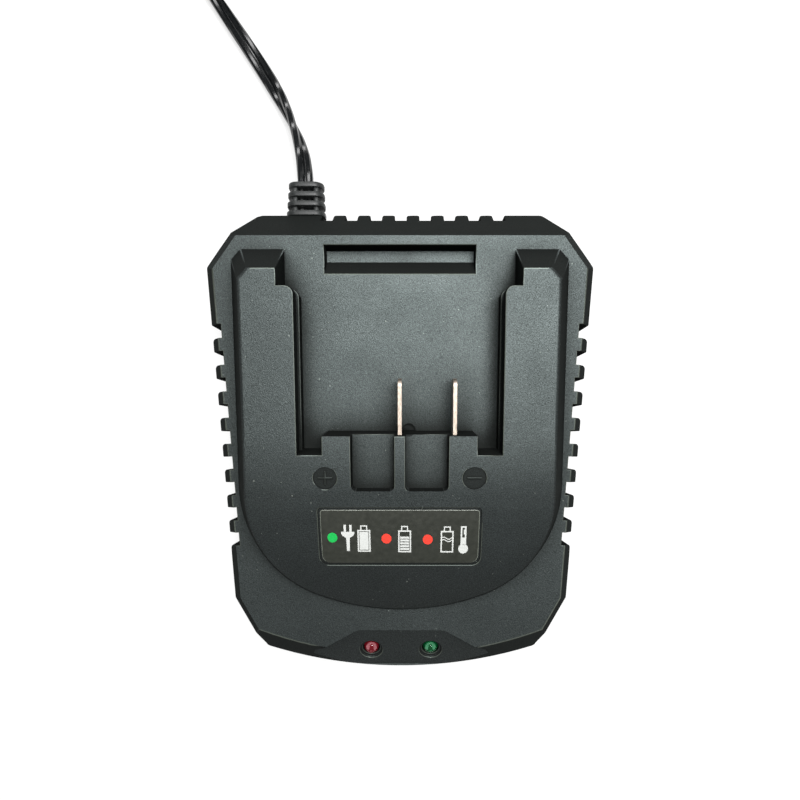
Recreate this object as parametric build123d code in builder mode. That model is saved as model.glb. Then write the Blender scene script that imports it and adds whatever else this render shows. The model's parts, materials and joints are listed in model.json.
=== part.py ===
from build123d import *
import os
from math import asin, atan, cos, degrees, pi, radians, sin, tan

os.makedirs("parts", exist_ok=True)

# A slide-pack battery charger. X is its width, +Y its back, where the battery
# slides in and the cord leaves, and Z is up. The origin is on the table, under
# the middle of the housing. All sizes are in millimetres.

# ---------------------------------------------------------------- housing
LENGTH = 150.0  # back wall to the tip of the front arc
WIDTH = 118.2  # across the widest corners
WALL = 2.3  # moulded wall
FOOT_HEIGHT = 1.5  # the tray stands this far above the table
PARTING = 15.0  # height of the joint between tray and top cover
BACK_WIDTH = 93.4  # straight back edge
BACK_SHOULDER_WIDTH = 103.0  # across the corners between the back edge and the widest corners
BACK_SHOULDER_SETBACK = 11.5  # those corners, in front of the back wall
BACK_CORNER_SETBACK = 21.5  # widest corners, in front of the back wall
FRONT_CORNER_SETBACK = 24.5  # where the flanks end, behind the front tip
FRONT_FLANK_WIDTH = 107.9  # across the flanks there
NOSE_WIDTH = 89.2  # across the ends of the front arc
NOSE_DEPTH = 6.8  # depth of the front arc
CORNER_RADIUS = 2.0  # vertical corners in plan
EDGE_BEVEL = 2.3  # bevel between the deck and the flanks
TRAY_EDGE = 1.2  # bevel under the tray
DECK_HEIGHT = 30.0  # deck above the table at mid length
DECK_SLOPE = 0.13  # the deck rises this much per length towards the back
BACK_SLOPE_TOP = 62.3  # Y where the sloping back wall leaves the deck
BACK_WALL_HEIGHT = 18.8  # top of the upright part of the back wall
FRONT_WALL_HEIGHT = 15.0  # top of the upright part of the front wall
FRONT_BEVEL_DEPTH = 6.0  # the front bevel runs this far back ...
FRONT_BEVEL_RISE = 6.5  # ... while it rises this much

FIN_PITCH = 8.13  # grip fins along each flank
FIN_COUNT = 8
FIN_GAP = 4.07
FIN_DEPTH = 3.4
FIN_FIRST_GAP = 34.1  # Y of the rearmost gap
FIN_ROUNDING = 1.1  # rear corner of each fin
TOOTH_PITCH = 8.0  # teeth along the back wall
TOOTH_COUNT = 7
TOOTH_GAP = 3.8
TOOTH_DEPTH = 3.4
TOOTH_FIRST_GAP = 32.0  # X of the gap at the right-hand end
TOOTH_ROUNDING = 0.9

SCOOP_SETBACK = 14.0  # upper edge of the indicator scoop, behind the front tip
SCOOP_ANGLE = 28.0
SCOOP_TOP_WIDTH = 28.0
SCOOP_MOUTH_WIDTH = 58.0
SCOOP_MOUTH_RUN = 8.0  # depth over which the scoop widens
SCOOP_CORNER = 4.0
LED_SPACING = 19.6
LED_RUN = 8.6  # LED axis, down the scoop from its upper edge
LED_SEAT_DIAMETER = 7.2
LED_SEAT_DEPTH = 0.9
LED_DIAMETER = 5.0
LED_FLANGE = 5.8
LED_LENGTH = 8.6
LED_BELOW_FACE = 0.6
LED_CLEARANCE = 0.25
LED_FLANGE_THICKNESS = 1.0
LEG_PITCH = 2.54
LEG_BEND = 1.2
LEG_INBOARD = 2.0
LEG_DROP = 0.2

# ---------------------------------------------------------------- battery dock
RAIL_HEIGHT = 14.0  # square to the deck
DOCK_WIDTH = 102.0  # across the foot of the outer walls
DOCK_DRAFT = 20.0
DOCK_CORNER_DEPTH = 40.5  # from the dock's front to the ends of the straight outer walls
DOCK_CORNER_RADIUS = 38.0
DOCK_SETBACK = 7.0  # front of the dock, behind the scoop's upper edge
DOCK_FRONT_STEP = 0.7
DOCK_EDGE = 1.6  # rounding along the top edge
RAIL_BACK_TOP = 49.2  # Y of the rails' back end at the top ...
RAIL_BACK_FOOT = 58.3  # ... and at the deck
RAIL_CHAMFER = 2.8
BAY_WIDTH = 60.0
ENTRY_STEP = 4.8  # the entry is wider than the bay by this much on each side
ENTRY_FRONT = 44.5  # Y where the wide entry ends and the lips begin
LIP_CORNER = 2.6
LIP_THICKNESS = 5.0
GROOVE_HEIGHT = 5.0
GROOVE_DEPTH = 4.5  # under each lip
BAY_WALL_TOP = 2.0  # Y of the bay's front wall at its top
LAND_WIDTH = 45.6  # across the wall's middle part
RELIEF_FRONT = -3.5  # Y of the corner reliefs' front
POCKET_OUTER = 14.3
POCKET_INNER = 1.7
POCKET_FRONT = -14.4
POCKET_DEPTH = 6.0
POCKET_CORNER = 1.5
LATCH_WIDTH = 45.6
LATCH_BACK = 59.5
LATCH_FRONT = 51.1
LATCH_RAMP = 5.1
LATCH_DEPTH = 6.5
DRAIN_RADIUS = 2.0
DRAIN_X = 2.6
DRAIN_DEPTH = 1.2

BLADE_X = (0.0, 16.3)
BLADE_THICKNESS = 1.1
BLADE_REACH = 16.4  # free length in front of the wall
BLADE_TOP = 3.5  # below the top of the rails
BLADE_HEIGHT = 8.0
BLADE_TIP_RADIUS = 2.0
BLADE_FIT = 0.15
TAIL_RUN = 8.0  # the blade's tail, behind the wall
TAIL_WIDTH = 4.0
BLOCK_LENGTH = 24.0  # terminal block that holds both tails
BLOCK_WIDTH = 9.0
BLOCK_HEIGHT = 6.0
BLOCK_BOSS = 5.0
BLOCK_SCREW_GRIP = 3.6
BLOCK_GAP = 0.2  # between the block and the boss above it
BLOCK_CORNER = 1.0
TAIL_OUT = 1.5  # the tails stand out of the block by this much

SIGN_X = 22.0
SIGN_Y = -10.35
SIGN_DIAMETER = 6.8
SIGN_DEPTH = 0.5
SIGN_BAR = 4.6
SIGN_BAR_WIDTH = 0.8
SIGN_BAR_HEIGHT = 0.4

LABEL_WIDTH = 47.8
LABEL_BACK = -19.3
LABEL_FRONT = -37.6
LABEL_CORNER = 2.6
LABEL_BACK_CORNER = 1.0
LABEL_RECESS = 0.6
LABEL_MARGIN = 0.6
LABEL_THICKNESS = 0.4

# ---------------------------------------------------------------- inside
LIP_RISE = 2.0  # the tray's rim stands this far into the cover
RIM_THICKNESS = 1.1
RIM_CLEARANCE = 0.2
SCREW_PLACES = ((47.0, 42.0), (42.5, -49.5))
BOSS_DIAMETER = 7.6
SCREW_DIAMETER = 2.9
SCREW_CLEARANCE = 0.15
SCREW_HEAD = 5.6
SCREW_HEAD_HEIGHT = 2.2
SCREW_LENGTH = 12.0
SCREW_SUNK = 7.0  # head seat above the tray's underside
PILOT_SPARE = 0.4  # a pilot hole is deeper than its screw by this much
FOOT_PLACES = ((40.0, 56.0), (34.0, -60.0))
FOOT_DIAMETER = 10.0
FOOT_RECESS = 0.6
VENT_COUNT = 7
VENT_PITCH = 6.0
VENT_WIDTH = 2.2
VENT_LENGTH = 22.0
VENT_X = 16.0

BOARD_WIDTH = 74.0
BOARD_BACK = 56.0
BOARD_SETBACK = 19.0  # front edge, behind the housing's front tip
BOARD_THICKNESS = 1.6
BOARD_CORNER = 2.0
BOARD_STANDOFF = 3.0
BOARD_SCREW_X = 32.0
BOARD_SCREW_BACK = 40.0
BOARD_SCREW_MARGIN = 6.0  # front screws, from the board's front edge
STANDOFF_DIAMETER = 6.0
BOARD_SCREW_DIAMETER = 2.2
BOARD_SCREW_HEAD = 4.4
BOARD_SCREW_HEAD_HEIGHT = 1.6
BOARD_SCREW_GRIP = 2.4
LEG_DIAMETER = 0.5
SUPPLY_LEAD = 1.8
SUPPLY_PAD = 5.0  # from the board's back edge
SUPPLY_SPREAD = 1.4
SUPPLY_TURN = 6.0
OUTPUT_LEAD = 2.2
OUTPUT_DROP = 4.0
LEAD_SHIFT = 1.0
SINK_X = 30.5
SINK_FIN = 3.0
DEVICE = (10.0, 4.5, 15.0)  # width, thickness and height of a power device's case
DEVICE_LEGS = 1.5
TRANSFORMER = (-12.0, -31.0)
CORE_LENGTH = 25.0
CORE_LEG = 4.5
CORE_DEPTH = 7.0
BOBBIN_WIDTH = 17.0
BOBBIN_HEIGHT = 15.0
BOBBIN_FLANGE = 1.2
BOBBIN_CORNER = 1.0
BOBBIN_TUBE = 1.3
CORE_FIT = 0.2
WINDING_FIT = 0.4
WINDING_CORNER = 3.0

# name, places on the board, and width, depth and height
BOXES = (
    ("x_capacitor", ((-8.0, 48.0),), (18.0, 8.0, 13.0)),
    ("line_choke", ((-11.0, 27.0),), (17.0, 13.0, 15.0)),
    ("fuse", ((-29.0, 24.0),), (5.5, 20.0, 6.0)),
    ("bridge_rectifier", ((10.0, 36.0),), (15.0, 4.0, 11.0)),
    ("optocoupler", ((-6.0, -14.0),), (6.5, 4.6, 3.5)),
    ("control_chips", ((8.0, -42.0), (23.0, -46.0)), (8.0, 4.0, 1.7)),
    ("current_shunt", ((9.0, -14.0),), (11.0, 3.0, 3.0)),
)
# name, places on the board, and diameter and height
CANS = (
    ("bulk_capacitor", ((20.0, 22.0),), (16.0, 18.5)),
    ("output_capacitors", ((14.0, -25.0), (26.0, -30.0)), (10.0, 16.0)),
    ("varistor", ((8.0, 47.0),), (6.0, 11.0)),
)
# name, its device, side, Y on the board, and length, height and thickness
HEAT_SINKS = (
    ("switch_heat_sink", "switching_transistor", 1, 2.0, (26.0, 17.0, 1.6)),
    ("output_heat_sink", "output_diode", -1, -8.0, (24.0, 17.0, 1.6)),
)

# ---------------------------------------------------------------- cord
CORD_WIDTH = 5.3  # flat two-core lead, over its width
CORD_LENGTH = 1800.0
RELIEF_X = -31.7
RELIEF_HEIGHT = 15.0
RELIEF_LENGTH = 12.7  # behind the back wall
RELIEF_RINGS = 4
RELIEF_PITCH = 3.2
RELIEF_RING_WIDTH = 11.8  # of the ring at the wall
RELIEF_RING_HEIGHT = 9.6
RELIEF_RING_THICKNESS = 1.6
RELIEF_TAPER = 0.5  # each further ring is narrower by this much
RELIEF_CORE_WIDTH = 8.0
RELIEF_CORE_HEIGHT = 6.4
RELIEF_FLANGE = 2.0
RELIEF_FIT = 0.1
RELIEF_ROOM = 1.0  # free inside face beside the flange
COIL_MEAN_DIAMETER = 60.8
COIL_COLUMNS = 2
COIL_LAYERS = 4
COIL_CENTRE = (-61.5, 204.0)
COIL_ENTRY_ANGLE = 222.85  # where the lead runs onto the coil, turning clockwise
COIL_EXIT_ANGLE = 60.0
COIL_STUB = 20.0  # straight length on each side of the coil
TIE_ANGLE = -35.0
TIE_FIT = 0.2
COIL_SLACK = 0.15  # the coil's outer shape stands this far off its turns
COIL_CORNER = 2.4
ARC_SHARE = 0.45  # part of the shorter run that an arc of the cord may use
TIE_WIDTH = 6.0
TIE_THICKNESS = 0.7
PLUG_LENGTH = 26.0
PLUG_WIDTH = 24.0
PLUG_HEIGHT = 13.0
PLUG_CORNER = 4.0
PLUG_NECK_WIDTH = 10.0
PLUG_NECK_HEIGHT = 8.5
PLUG_NECK_CORNER = 2.0
PLUG_SHOULDER_WIDTH = 18.0
PRONG_LENGTH = 16.0
PRONG_WIDTH = 6.3
PRONG_THICKNESS = 1.5
PRONG_SPACING = 12.7

# ---------------------------------------------------------------- worked out
HALF = LENGTH / 2
TILT = atan(DECK_SLOPE)
BACK = HALF
SCOOP_TOP = -HALF + SCOOP_SETBACK
DOCK_FRONT = SCOOP_TOP + DOCK_SETBACK
DOCK_SIDE_END = DOCK_FRONT + DOCK_CORNER_DEPTH
ENTRY_WIDTH = BAY_WIDTH + 2 * ENTRY_STEP
GROOVE_WIDTH = BAY_WIDTH + 2 * GROOVE_DEPTH
BOARD_FRONT = -HALF + BOARD_SETBACK
BOARD_SCREW_PLACES = ((BOARD_SCREW_X, BOARD_SCREW_BACK), (BOARD_SCREW_X, BOARD_FRONT + BOARD_SCREW_MARGIN))
NOSE_RADIUS = ((NOSE_WIDTH / 2) ** 2 + NOSE_DEPTH**2) / (2 * NOSE_DEPTH)
BACK_SHOULDER = (BACK_SHOULDER_WIDTH / 2, BACK - BACK_SHOULDER_SETBACK)
FLANK_BACK = (WIDTH / 2, BACK - BACK_CORNER_SETBACK)
FLANK_FRONT = (FRONT_FLANK_WIDTH / 2, -HALF + FRONT_CORNER_SETBACK)
FLANK_LEAN = atan((FLANK_BACK[0] - FLANK_FRONT[0]) / (FLANK_BACK[1] - FLANK_FRONT[1]))
DECK = Plane(origin=(0, 0, DECK_HEIGHT), x_dir=(1, 0, 0), z_dir=(0, -sin(TILT), cos(TILT)))
RAIL_PLANE_Z = DECK_HEIGHT + RAIL_HEIGHT / cos(TILT)
CROWN_START = (BAY_WALL_TOP, RAIL_PLANE_Z + DECK_SLOPE * BAY_WALL_TOP)
CROWN_END = (DOCK_FRONT, DECK_HEIGHT + DECK_SLOPE * DOCK_FRONT + DOCK_FRONT_STEP)
LEAN_DEGREES = degrees(FLANK_LEAN)
STANDING = (Align.CENTER, Align.CENTER, Align.MIN)
HANGING = (Align.CENTER, Align.CENTER, Align.MAX)
SKY = DECK_HEIGHT + 3 * RAIL_HEIGHT  # above everything
BOARD_BOTTOM = FOOT_HEIGHT + WALL + BOARD_STANDOFF
BOARD_TOP = BOARD_BOTTOM + BOARD_THICKNESS


def deck_z(y):
    """Height of the deck at a place along the housing."""
    return DECK_HEIGHT + DECK_SLOPE * y


def along(y, height=0.0):
    """Place along the deck plane of a point at Y that stands so far above the deck."""
    return (y + height * sin(TILT)) / cos(TILT)


def flank_x(y):
    """Half width of the housing at Y, on the flank line."""
    return FLANK_BACK[0] - (FLANK_BACK[1] - y) * tan(FLANK_LEAN)


def crown_radius():
    """Radius of the dock's crown, which leaves the rails' plane smoothly and falls to its front."""
    chord = (CROWN_END[0] - CROWN_START[0], CROWN_END[1] - CROWN_START[1])
    drop = chord[0] * sin(TILT) - chord[1] * cos(TILT)
    return (chord[0] ** 2 + chord[1] ** 2) / (2 * drop)


def crown_angle(y):
    """Slope of the crown's surface at Y, in radians."""
    return asin(sin(TILT) + (CROWN_START[0] - y) / crown_radius())


def crown_point(y):
    """Point on the crown's surface at Y, in side view."""
    return (y, CROWN_START[1] - crown_radius() * (cos(TILT) - cos(crown_angle(y))))


def crown_plane(x, y):
    """Plane that touches the crown at a place, its Z square to the surface."""
    angle = crown_angle(y)
    return Plane(origin=(x, *crown_point(y)), x_dir=(1, 0, 0), z_dir=(0, -sin(angle), cos(angle)))


def plan_outline(inset):
    """Outline of the housing in plan, moved inward by inset, with the walls behind its fins."""
    nose = NOSE_WIDTH / 2
    nose_y = -HALF + NOSE_DEPTH
    with BuildSketch() as outline:
        with BuildLine():
            Polyline((0, BACK), (BACK_WIDTH / 2, BACK), BACK_SHOULDER, FLANK_BACK, FLANK_FRONT, (nose, nose_y))
            mirror(about=Plane.YZ)
            ThreePointArc((nose, nose_y), (0, -HALF), (-nose, nose_y))
        make_face()
        fillet(outline.vertices().filter_by(lambda v: abs(v.X) > 1), CORNER_RADIUS)
        if inset:
            offset(amount=-inset)
            fin_last = FIN_FIRST_GAP - FIN_COUNT * FIN_PITCH
            fin_mid = (FIN_FIRST_GAP + fin_last) / 2
            fin_span = FIN_FIRST_GAP - fin_last + FIN_GAP + 2 * inset
            for side in (1, -1):
                lean = (0, 0, -side * LEAN_DEGREES)
                with Locations(Location((side * flank_x(fin_mid), fin_mid, 0), lean)):
                    Rectangle(2 * (FIN_DEPTH + inset), fin_span, mode=Mode.SUBTRACT)
            flange_side = RELIEF_RING_WIDTH / 2 + RELIEF_ROOM - RELIEF_X
            tooth_span = 2 * max(TOOTH_FIRST_GAP + TOOTH_GAP / 2, flange_side) + 2 * inset
            with Locations((0, BACK)):
                Rectangle(tooth_span, 2 * (TOOTH_DEPTH + inset), mode=Mode.SUBTRACT)
    return outline.sketch


def side_slab(inset):
    """Everything under the deck and in front of the back wall, moved inward by inset."""
    far = 2 * LENGTH
    with BuildPart() as slab:
        with BuildSketch(Plane.YZ):
            with BuildLine():
                Polyline(
                    (-far, deck_z(-far)),
                    (BACK_SLOPE_TOP, deck_z(BACK_SLOPE_TOP)),
                    (BACK, BACK_WALL_HEIGHT),
                    (BACK, -far),
                    (-far, -far),
                    close=True,
                )
            make_face()
            if inset:
                offset(amount=-inset, kind=Kind.INTERSECTION)
        extrude(amount=WIDTH, both=True)
    return slab.part


def nose_cap(inset):
    """Cone that bevels the front arc from the front wall up to the deck, moved inward by inset."""
    bevel = atan(FRONT_BEVEL_DEPTH / FRONT_BEVEL_RISE)
    base = FRONT_WALL_HEIGHT - inset / sin(bevel)
    height = SKY - base
    with BuildPart() as cap:
        with Locations((0, NOSE_RADIUS - HALF, base)):
            Cone(NOSE_RADIUS, NOSE_RADIUS - height * tan(bevel), height, align=STANDING)
            Cylinder(NOSE_RADIUS, LENGTH, align=HANGING)
    return cap.part


def deck_bevel():
    """Space inside the bevel that runs along the flanks and corners, just under the deck."""
    nose_end = (NOSE_WIDTH / 2, -HALF + NOSE_DEPTH)
    places = (nose_end, FLANK_FRONT, FLANK_BACK, BACK_SHOULDER, (BACK_WIDTH / 2, BACK))
    corners = [(x, along(y, -EDGE_BEVEL)) for x, y in places]
    with BuildPart() as space:
        with BuildSketch(DECK.offset(-EDGE_BEVEL)):
            with BuildLine():
                Polyline((0, -LENGTH), (corners[0][0], -LENGTH), *corners, (0, corners[-1][1]))
                mirror(about=Plane.YZ)
            make_face()
        extrude(amount=1.25 * EDGE_BEVEL, taper=45)
        with BuildSketch(DECK.offset(-EDGE_BEVEL)):
            Rectangle(2 * LENGTH, 3 * LENGTH)
        extrude(amount=-LENGTH)
    return space.part


def body_solid(inset):
    """Housing up to its deck, without the dock, every face moved inward by inset."""
    with BuildPart() as solid:
        with BuildSketch():
            add(plan_outline(inset))
        extrude(amount=SKY)
        add(side_slab(inset), mode=Mode.INTERSECT)
        add(nose_cap(inset), mode=Mode.INTERSECT)
        if not inset:
            add(deck_bevel(), mode=Mode.INTERSECT)
    return solid.part


def dock_slab(inset):
    """Everything under the rails' plane and the crown, moved down and inward by inset."""
    front = DOCK_FRONT - RAIL_HEIGHT / 2
    bottom = deck_z(DOCK_FRONT) - RAIL_HEIGHT
    top = (RAIL_BACK_TOP, RAIL_PLANE_Z + DECK_SLOPE * RAIL_BACK_TOP)
    lean = (RAIL_BACK_FOOT - RAIL_BACK_TOP) / (top[1] - deck_z(RAIL_BACK_FOOT))
    with BuildPart() as slab:
        with BuildSketch(Plane.YZ):
            with BuildLine():
                ThreePointArc(CROWN_START, crown_point((front + CROWN_START[0]) / 2), crown_point(front))
                foot = (top[0] + lean * (top[1] - bottom), bottom)
                Polyline(crown_point(front), (front, bottom), foot, top, CROWN_START)
            make_face()
            if inset:
                offset(amount=-inset, kind=Kind.INTERSECTION)
        extrude(amount=WIDTH, both=True)
    return slab.part


def dock_outline(grow):
    """Foot of the raised dock on the deck plane, grown by grow."""
    half = DOCK_WIDTH / 2
    across = half - DOCK_CORNER_RADIUS
    ahead = DOCK_CORNER_DEPTH
    front_radius = (across**2 + ahead**2 - DOCK_CORNER_RADIUS**2) / (2 * (ahead - DOCK_CORNER_RADIUS))
    centre_y = DOCK_FRONT + front_radius
    reach = front_radius / (front_radius - DOCK_CORNER_RADIUS)
    join = (across * reach, along(centre_y + (DOCK_SIDE_END - centre_y) * reach))
    turn = atan((centre_y - DOCK_SIDE_END) / across) / 2
    side_end = (half, along(DOCK_SIDE_END))
    corner_y = DOCK_SIDE_END - DOCK_CORNER_RADIUS * sin(turn)
    on_corner = (across + DOCK_CORNER_RADIUS * cos(turn), along(corner_y))
    with BuildSketch() as outline:
        with BuildLine():
            Polyline((0, along(BACK)), (half, along(BACK)), side_end)
            ThreePointArc(side_end, on_corner, join)
            mirror(about=Plane.YZ)
            ThreePointArc(join, (0, along(DOCK_FRONT)), (-join[0], join[1]))
        make_face()
        if grow:
            offset(amount=grow, kind=Kind.INTERSECTION if grow > 0 else Kind.ARC)
    return outline.sketch


def dock_solid(inset):
    """Raised dock without its bay, every face moved inward by inset."""
    sunk = RAIL_HEIGHT / 4
    draft = radians(DOCK_DRAFT)
    with BuildPart() as solid:
        with BuildSketch(DECK.offset(-sunk)):
            add(dock_outline(sunk * tan(draft) - inset / cos(draft)))
        extrude(amount=sunk + 1.5 * RAIL_HEIGHT, taper=DOCK_DRAFT)
        add(dock_slab(inset), mode=Mode.INTERSECT)
        if not inset:
            posts = solid.edges().filter_by(lambda e: e.center().Y > RAIL_BACK_TOP and e.length > RAIL_HEIGHT)
            chamfer(posts.filter_by(lambda e: abs(e.tangent_at(0.5).Z) > 0.5), RAIL_CHAMFER)
            rim = solid.edges().filter_by(lambda e: abs(e.center().X) > 1 and e.center().Y < RAIL_BACK_TOP)
            rim = rim.filter_by(lambda e: DECK.to_local_coords(e.center()).Z > 0)
            fillet(rim, DOCK_EDGE)
    return solid.part


def bay_cut(grow):
    """Space of the battery bay, its entry and its front wall's reliefs, grown by grow."""
    wall = along(BAY_WALL_TOP, RAIL_HEIGHT)
    relief = along(RELIEF_FRONT, RAIL_HEIGHT)
    lip = along(ENTRY_FRONT, RAIL_HEIGHT)
    with BuildPart() as cut:
        with BuildSketch(DECK.offset(-grow)) as plan:
            with BuildLine():
                Polyline(
                    (0, wall),
                    (LAND_WIDTH / 2, wall),
                    (LAND_WIDTH / 2, relief),
                    (BAY_WIDTH / 2, relief),
                    (BAY_WIDTH / 2, lip),
                    (ENTRY_WIDTH / 2, lip),
                    (ENTRY_WIDTH / 2, LENGTH),
                    (0, LENGTH),
                )
                mirror(about=Plane.YZ)
            make_face()
            lips = plan.vertices().filter_by(lambda v: abs(abs(v.X) - BAY_WIDTH / 2) < 0.1 and v.Y > wall)
            fillet(lips, LIP_CORNER)
            if grow:
                offset(amount=grow, kind=Kind.INTERSECTION)
        extrude(amount=2 * RAIL_HEIGHT)
        with BuildSketch(DECK.offset(RAIL_HEIGHT - LIP_THICKNESS - GROOVE_HEIGHT - grow)):
            for side in (1, -1):
                with Locations((side * (LAND_WIDTH + GROOVE_WIDTH) / 4, relief - grow)):
                    width = (GROOVE_WIDTH - LAND_WIDTH) / 2 + 2 * grow
                    Rectangle(width, LENGTH, align=(Align.CENTER, Align.MIN))
        extrude(amount=GROOVE_HEIGHT + 2 * grow)
    return cut.part


def pocket_cut(grow):
    """The two pockets beside the rib between the contacts, grown by grow."""
    wall = along(BAY_WALL_TOP, RAIL_HEIGHT)
    front = along(POCKET_FRONT, RAIL_HEIGHT)
    with BuildPart() as cut:
        with BuildSketch(DECK.offset(RAIL_HEIGHT - POCKET_DEPTH - grow)) as plan:
            for side in (1, -1):
                with Locations((side * (POCKET_INNER + POCKET_OUTER) / 2, front - grow)):
                    Rectangle(
                        POCKET_OUTER - POCKET_INNER + 2 * grow,
                        wall - front + grow + WALL,
                        align=(Align.CENTER, Align.MIN),
                    )
            if not grow:
                fillet(plan.vertices().group_by(Axis.Y)[0], POCKET_CORNER)
        extrude(amount=2 * POCKET_DEPTH + RAIL_HEIGHT)
    return cut.part


def latch_cut(grow):
    """Slot in the deck that the battery's latch drops into, with its ramp, grown by grow."""
    floor_front = LATCH_FRONT + LATCH_RAMP
    with BuildPart() as cut:
        with BuildSketch(Plane.YZ):
            with BuildLine():
                Polyline(
                    (LATCH_FRONT, deck_z(LATCH_FRONT)),
                    (floor_front, deck_z(floor_front) - LATCH_DEPTH),
                    (LATCH_BACK, deck_z(LATCH_BACK) - LATCH_DEPTH),
                    (LATCH_BACK, SKY),
                    (LATCH_FRONT, SKY),
                    close=True,
                )
            make_face()
            if grow:
                offset(amount=grow, kind=Kind.INTERSECTION)
        extrude(amount=LATCH_WIDTH / 2 + grow, both=True)
    return cut.part


def scoop_plane(run=0.0, x=0.0):
    """Plane on the scoop's face, so far down from its upper edge, its Z out of the face."""
    angle = radians(SCOOP_ANGLE)
    place = (x, SCOOP_TOP - run * cos(angle), deck_z(SCOOP_TOP) - run * sin(angle))
    return Plane(origin=place, x_dir=(1, 0, 0), z_dir=(0, -sin(angle), cos(angle)))


def scoop_cut(grow):
    """Space over the sloping face that holds the two indicators, grown by grow."""
    plane = scoop_plane()
    reach = LENGTH / 4
    with BuildPart() as cut:
        with BuildSketch(plane.offset(-grow)) as plan:
            with BuildLine():
                Polyline(
                    (0, -reach),
                    (SCOOP_MOUTH_WIDTH / 2, -reach),
                    (SCOOP_MOUTH_WIDTH / 2, -SCOOP_MOUTH_RUN),
                    (SCOOP_TOP_WIDTH / 2, 0),
                    (0, 0),
                )
                mirror(about=Plane.YZ)
            make_face()
            fillet(plan.vertices().filter_by(lambda v: abs(v.X) > 1 and v.Y > -reach + 1), SCOOP_CORNER)
            if grow:
                offset(amount=grow)
        extrude(amount=RAIL_HEIGHT)
    return cut.part


def housing_solid(inset):
    """Whole housing as one solid, every face moved inward by inset."""
    with BuildPart() as solid:
        add(body_solid(inset))
        add(dock_solid(inset))
        add(bay_cut(inset), mode=Mode.SUBTRACT)
        add(pocket_cut(inset), mode=Mode.SUBTRACT)
        add(latch_cut(inset), mode=Mode.SUBTRACT)
        add(scoop_cut(inset), mode=Mode.SUBTRACT)
    return solid.part


def gap_row(count, pitch, gap, depth, rounding, sides):
    """Row of gaps along X that open towards +Y, with their mouths rounded on the named sides."""
    shoulder = gap / 2 + rounding
    with BuildSketch() as row:
        for place in range(count):
            middle = place * pitch
            for side in sides:
                with Locations((middle + side * shoulder / 2, 0)):
                    Rectangle(shoulder, 2 * rounding)
                with Locations((middle + side * shoulder, -rounding)):
                    Circle(rounding, mode=Mode.SUBTRACT)
            with Locations((middle, 0)):
                Rectangle(gap, 2 * depth)
    return row.sketch


def grip_cuts():
    """All the gaps between the fins of both flanks and between the teeth of the back."""
    fins = gap_row(FIN_COUNT + 1, FIN_PITCH, FIN_GAP, FIN_DEPTH, FIN_ROUNDING, (1,))
    teeth = gap_row(TOOTH_COUNT + 1, TOOTH_PITCH, TOOTH_GAP, TOOTH_DEPTH, TOOTH_ROUNDING, (-1, 1))
    with BuildPart() as cuts:
        with BuildSketch():
            with Locations(Location((flank_x(FIN_FIRST_GAP), FIN_FIRST_GAP, 0), (0, 0, -90 - LEAN_DEGREES))):
                add(fins)
            mirror(about=Plane.YZ)
            with Locations((TOOTH_FIRST_GAP - TOOTH_COUNT * TOOTH_PITCH, BACK)):
                add(teeth)
        extrude(amount=SKY)
    return cuts.part


def standing(places):
    """Places on both sides of the middle plane."""
    return [(side * x, y) for x, y in places for side in (1, -1)]


def ring_plate(width, height, thickness, y):
    """Rounded plate square to the cord, at the strain relief, from Y backwards."""
    with BuildPart() as plate:
        with BuildSketch(Plane(origin=(RELIEF_X, y, RELIEF_HEIGHT), x_dir=(-1, 0, 0), z_dir=(0, 1, 0))):
            RectangleRounded(width, height, min(width, height) / 3)
        extrude(amount=thickness)
    return plate.part


def tube(points, diameter):
    """Round lead along runs joined by the largest tangent arcs that the runs allow, and its radii."""
    spots = [Vector(*point) for point in points]
    runs = [after - before for before, after in zip(spots, spots[1:])]
    radii = []
    for before, after in zip(runs, runs[1:]):
        half_turn = radians(before.get_angle(after)) / 2
        radii.append(ARC_SHARE * min(before.length, after.length) / tan(half_turn))
    with BuildPart() as lead:
        with BuildLine() as path:
            FilletPolyline(*spots, radius=radii)
        with BuildSketch(Plane(origin=path.line @ 0, z_dir=path.line % 0)):
            Circle(diameter / 2)
        sweep()
    return lead.part, radii, sum(edge.length for edge in path.edges())


def crown_prism(width, back, front, back_corner, front_corner):
    """Upright block with a rounded outline that stands through the crown."""
    with BuildPart() as prism:
        with BuildSketch(Plane.XY.offset(deck_z(DOCK_FRONT))) as plan:
            with Locations((0, (back + front) / 2)):
                Rectangle(width, back - front)
            fillet(plan.vertices().group_by(Axis.Y)[0], front_corner)
            fillet(plan.vertices().group_by(Axis.Y)[-1], back_corner)
        extrude(amount=SKY)
    return prism.part


# ---------------------------------------------------------------- shared shapes
outer = housing_solid(0)
inner = housing_solid(WALL)
grips = grip_cuts()
relief_wall = TOOTH_DEPTH + WALL  # thickness of the back wall at the strain relief
relief_hole = ring_plate(
    RELIEF_CORE_WIDTH + 2 * RELIEF_FIT,
    RELIEF_CORE_HEIGHT + 2 * RELIEF_FIT,
    2 * relief_wall,
    BACK - 3 * relief_wall / 2,
)
blade_wall = along(BAY_WALL_TOP, RAIL_HEIGHT)
blade_high = RAIL_HEIGHT - BLADE_TOP
blade_low = blade_high - BLADE_HEIGHT
pocket_underside = RAIL_HEIGHT - POCKET_DEPTH - WALL
tail_back = blade_wall - WALL - TAIL_RUN
block_x = (BLADE_X[0] + BLADE_X[1]) / 2
block_y = tail_back + TAIL_WIDTH / 2
block_top = blade_low - BLOCK_GAP

recess_width = LABEL_WIDTH + 2 * LABEL_MARGIN
recess_prism = crown_prism(recess_width, LABEL_BACK, LABEL_FRONT, LABEL_BACK_CORNER, LABEL_CORNER)
label_recess = recess_prism - dock_slab(LABEL_RECESS)

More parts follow.
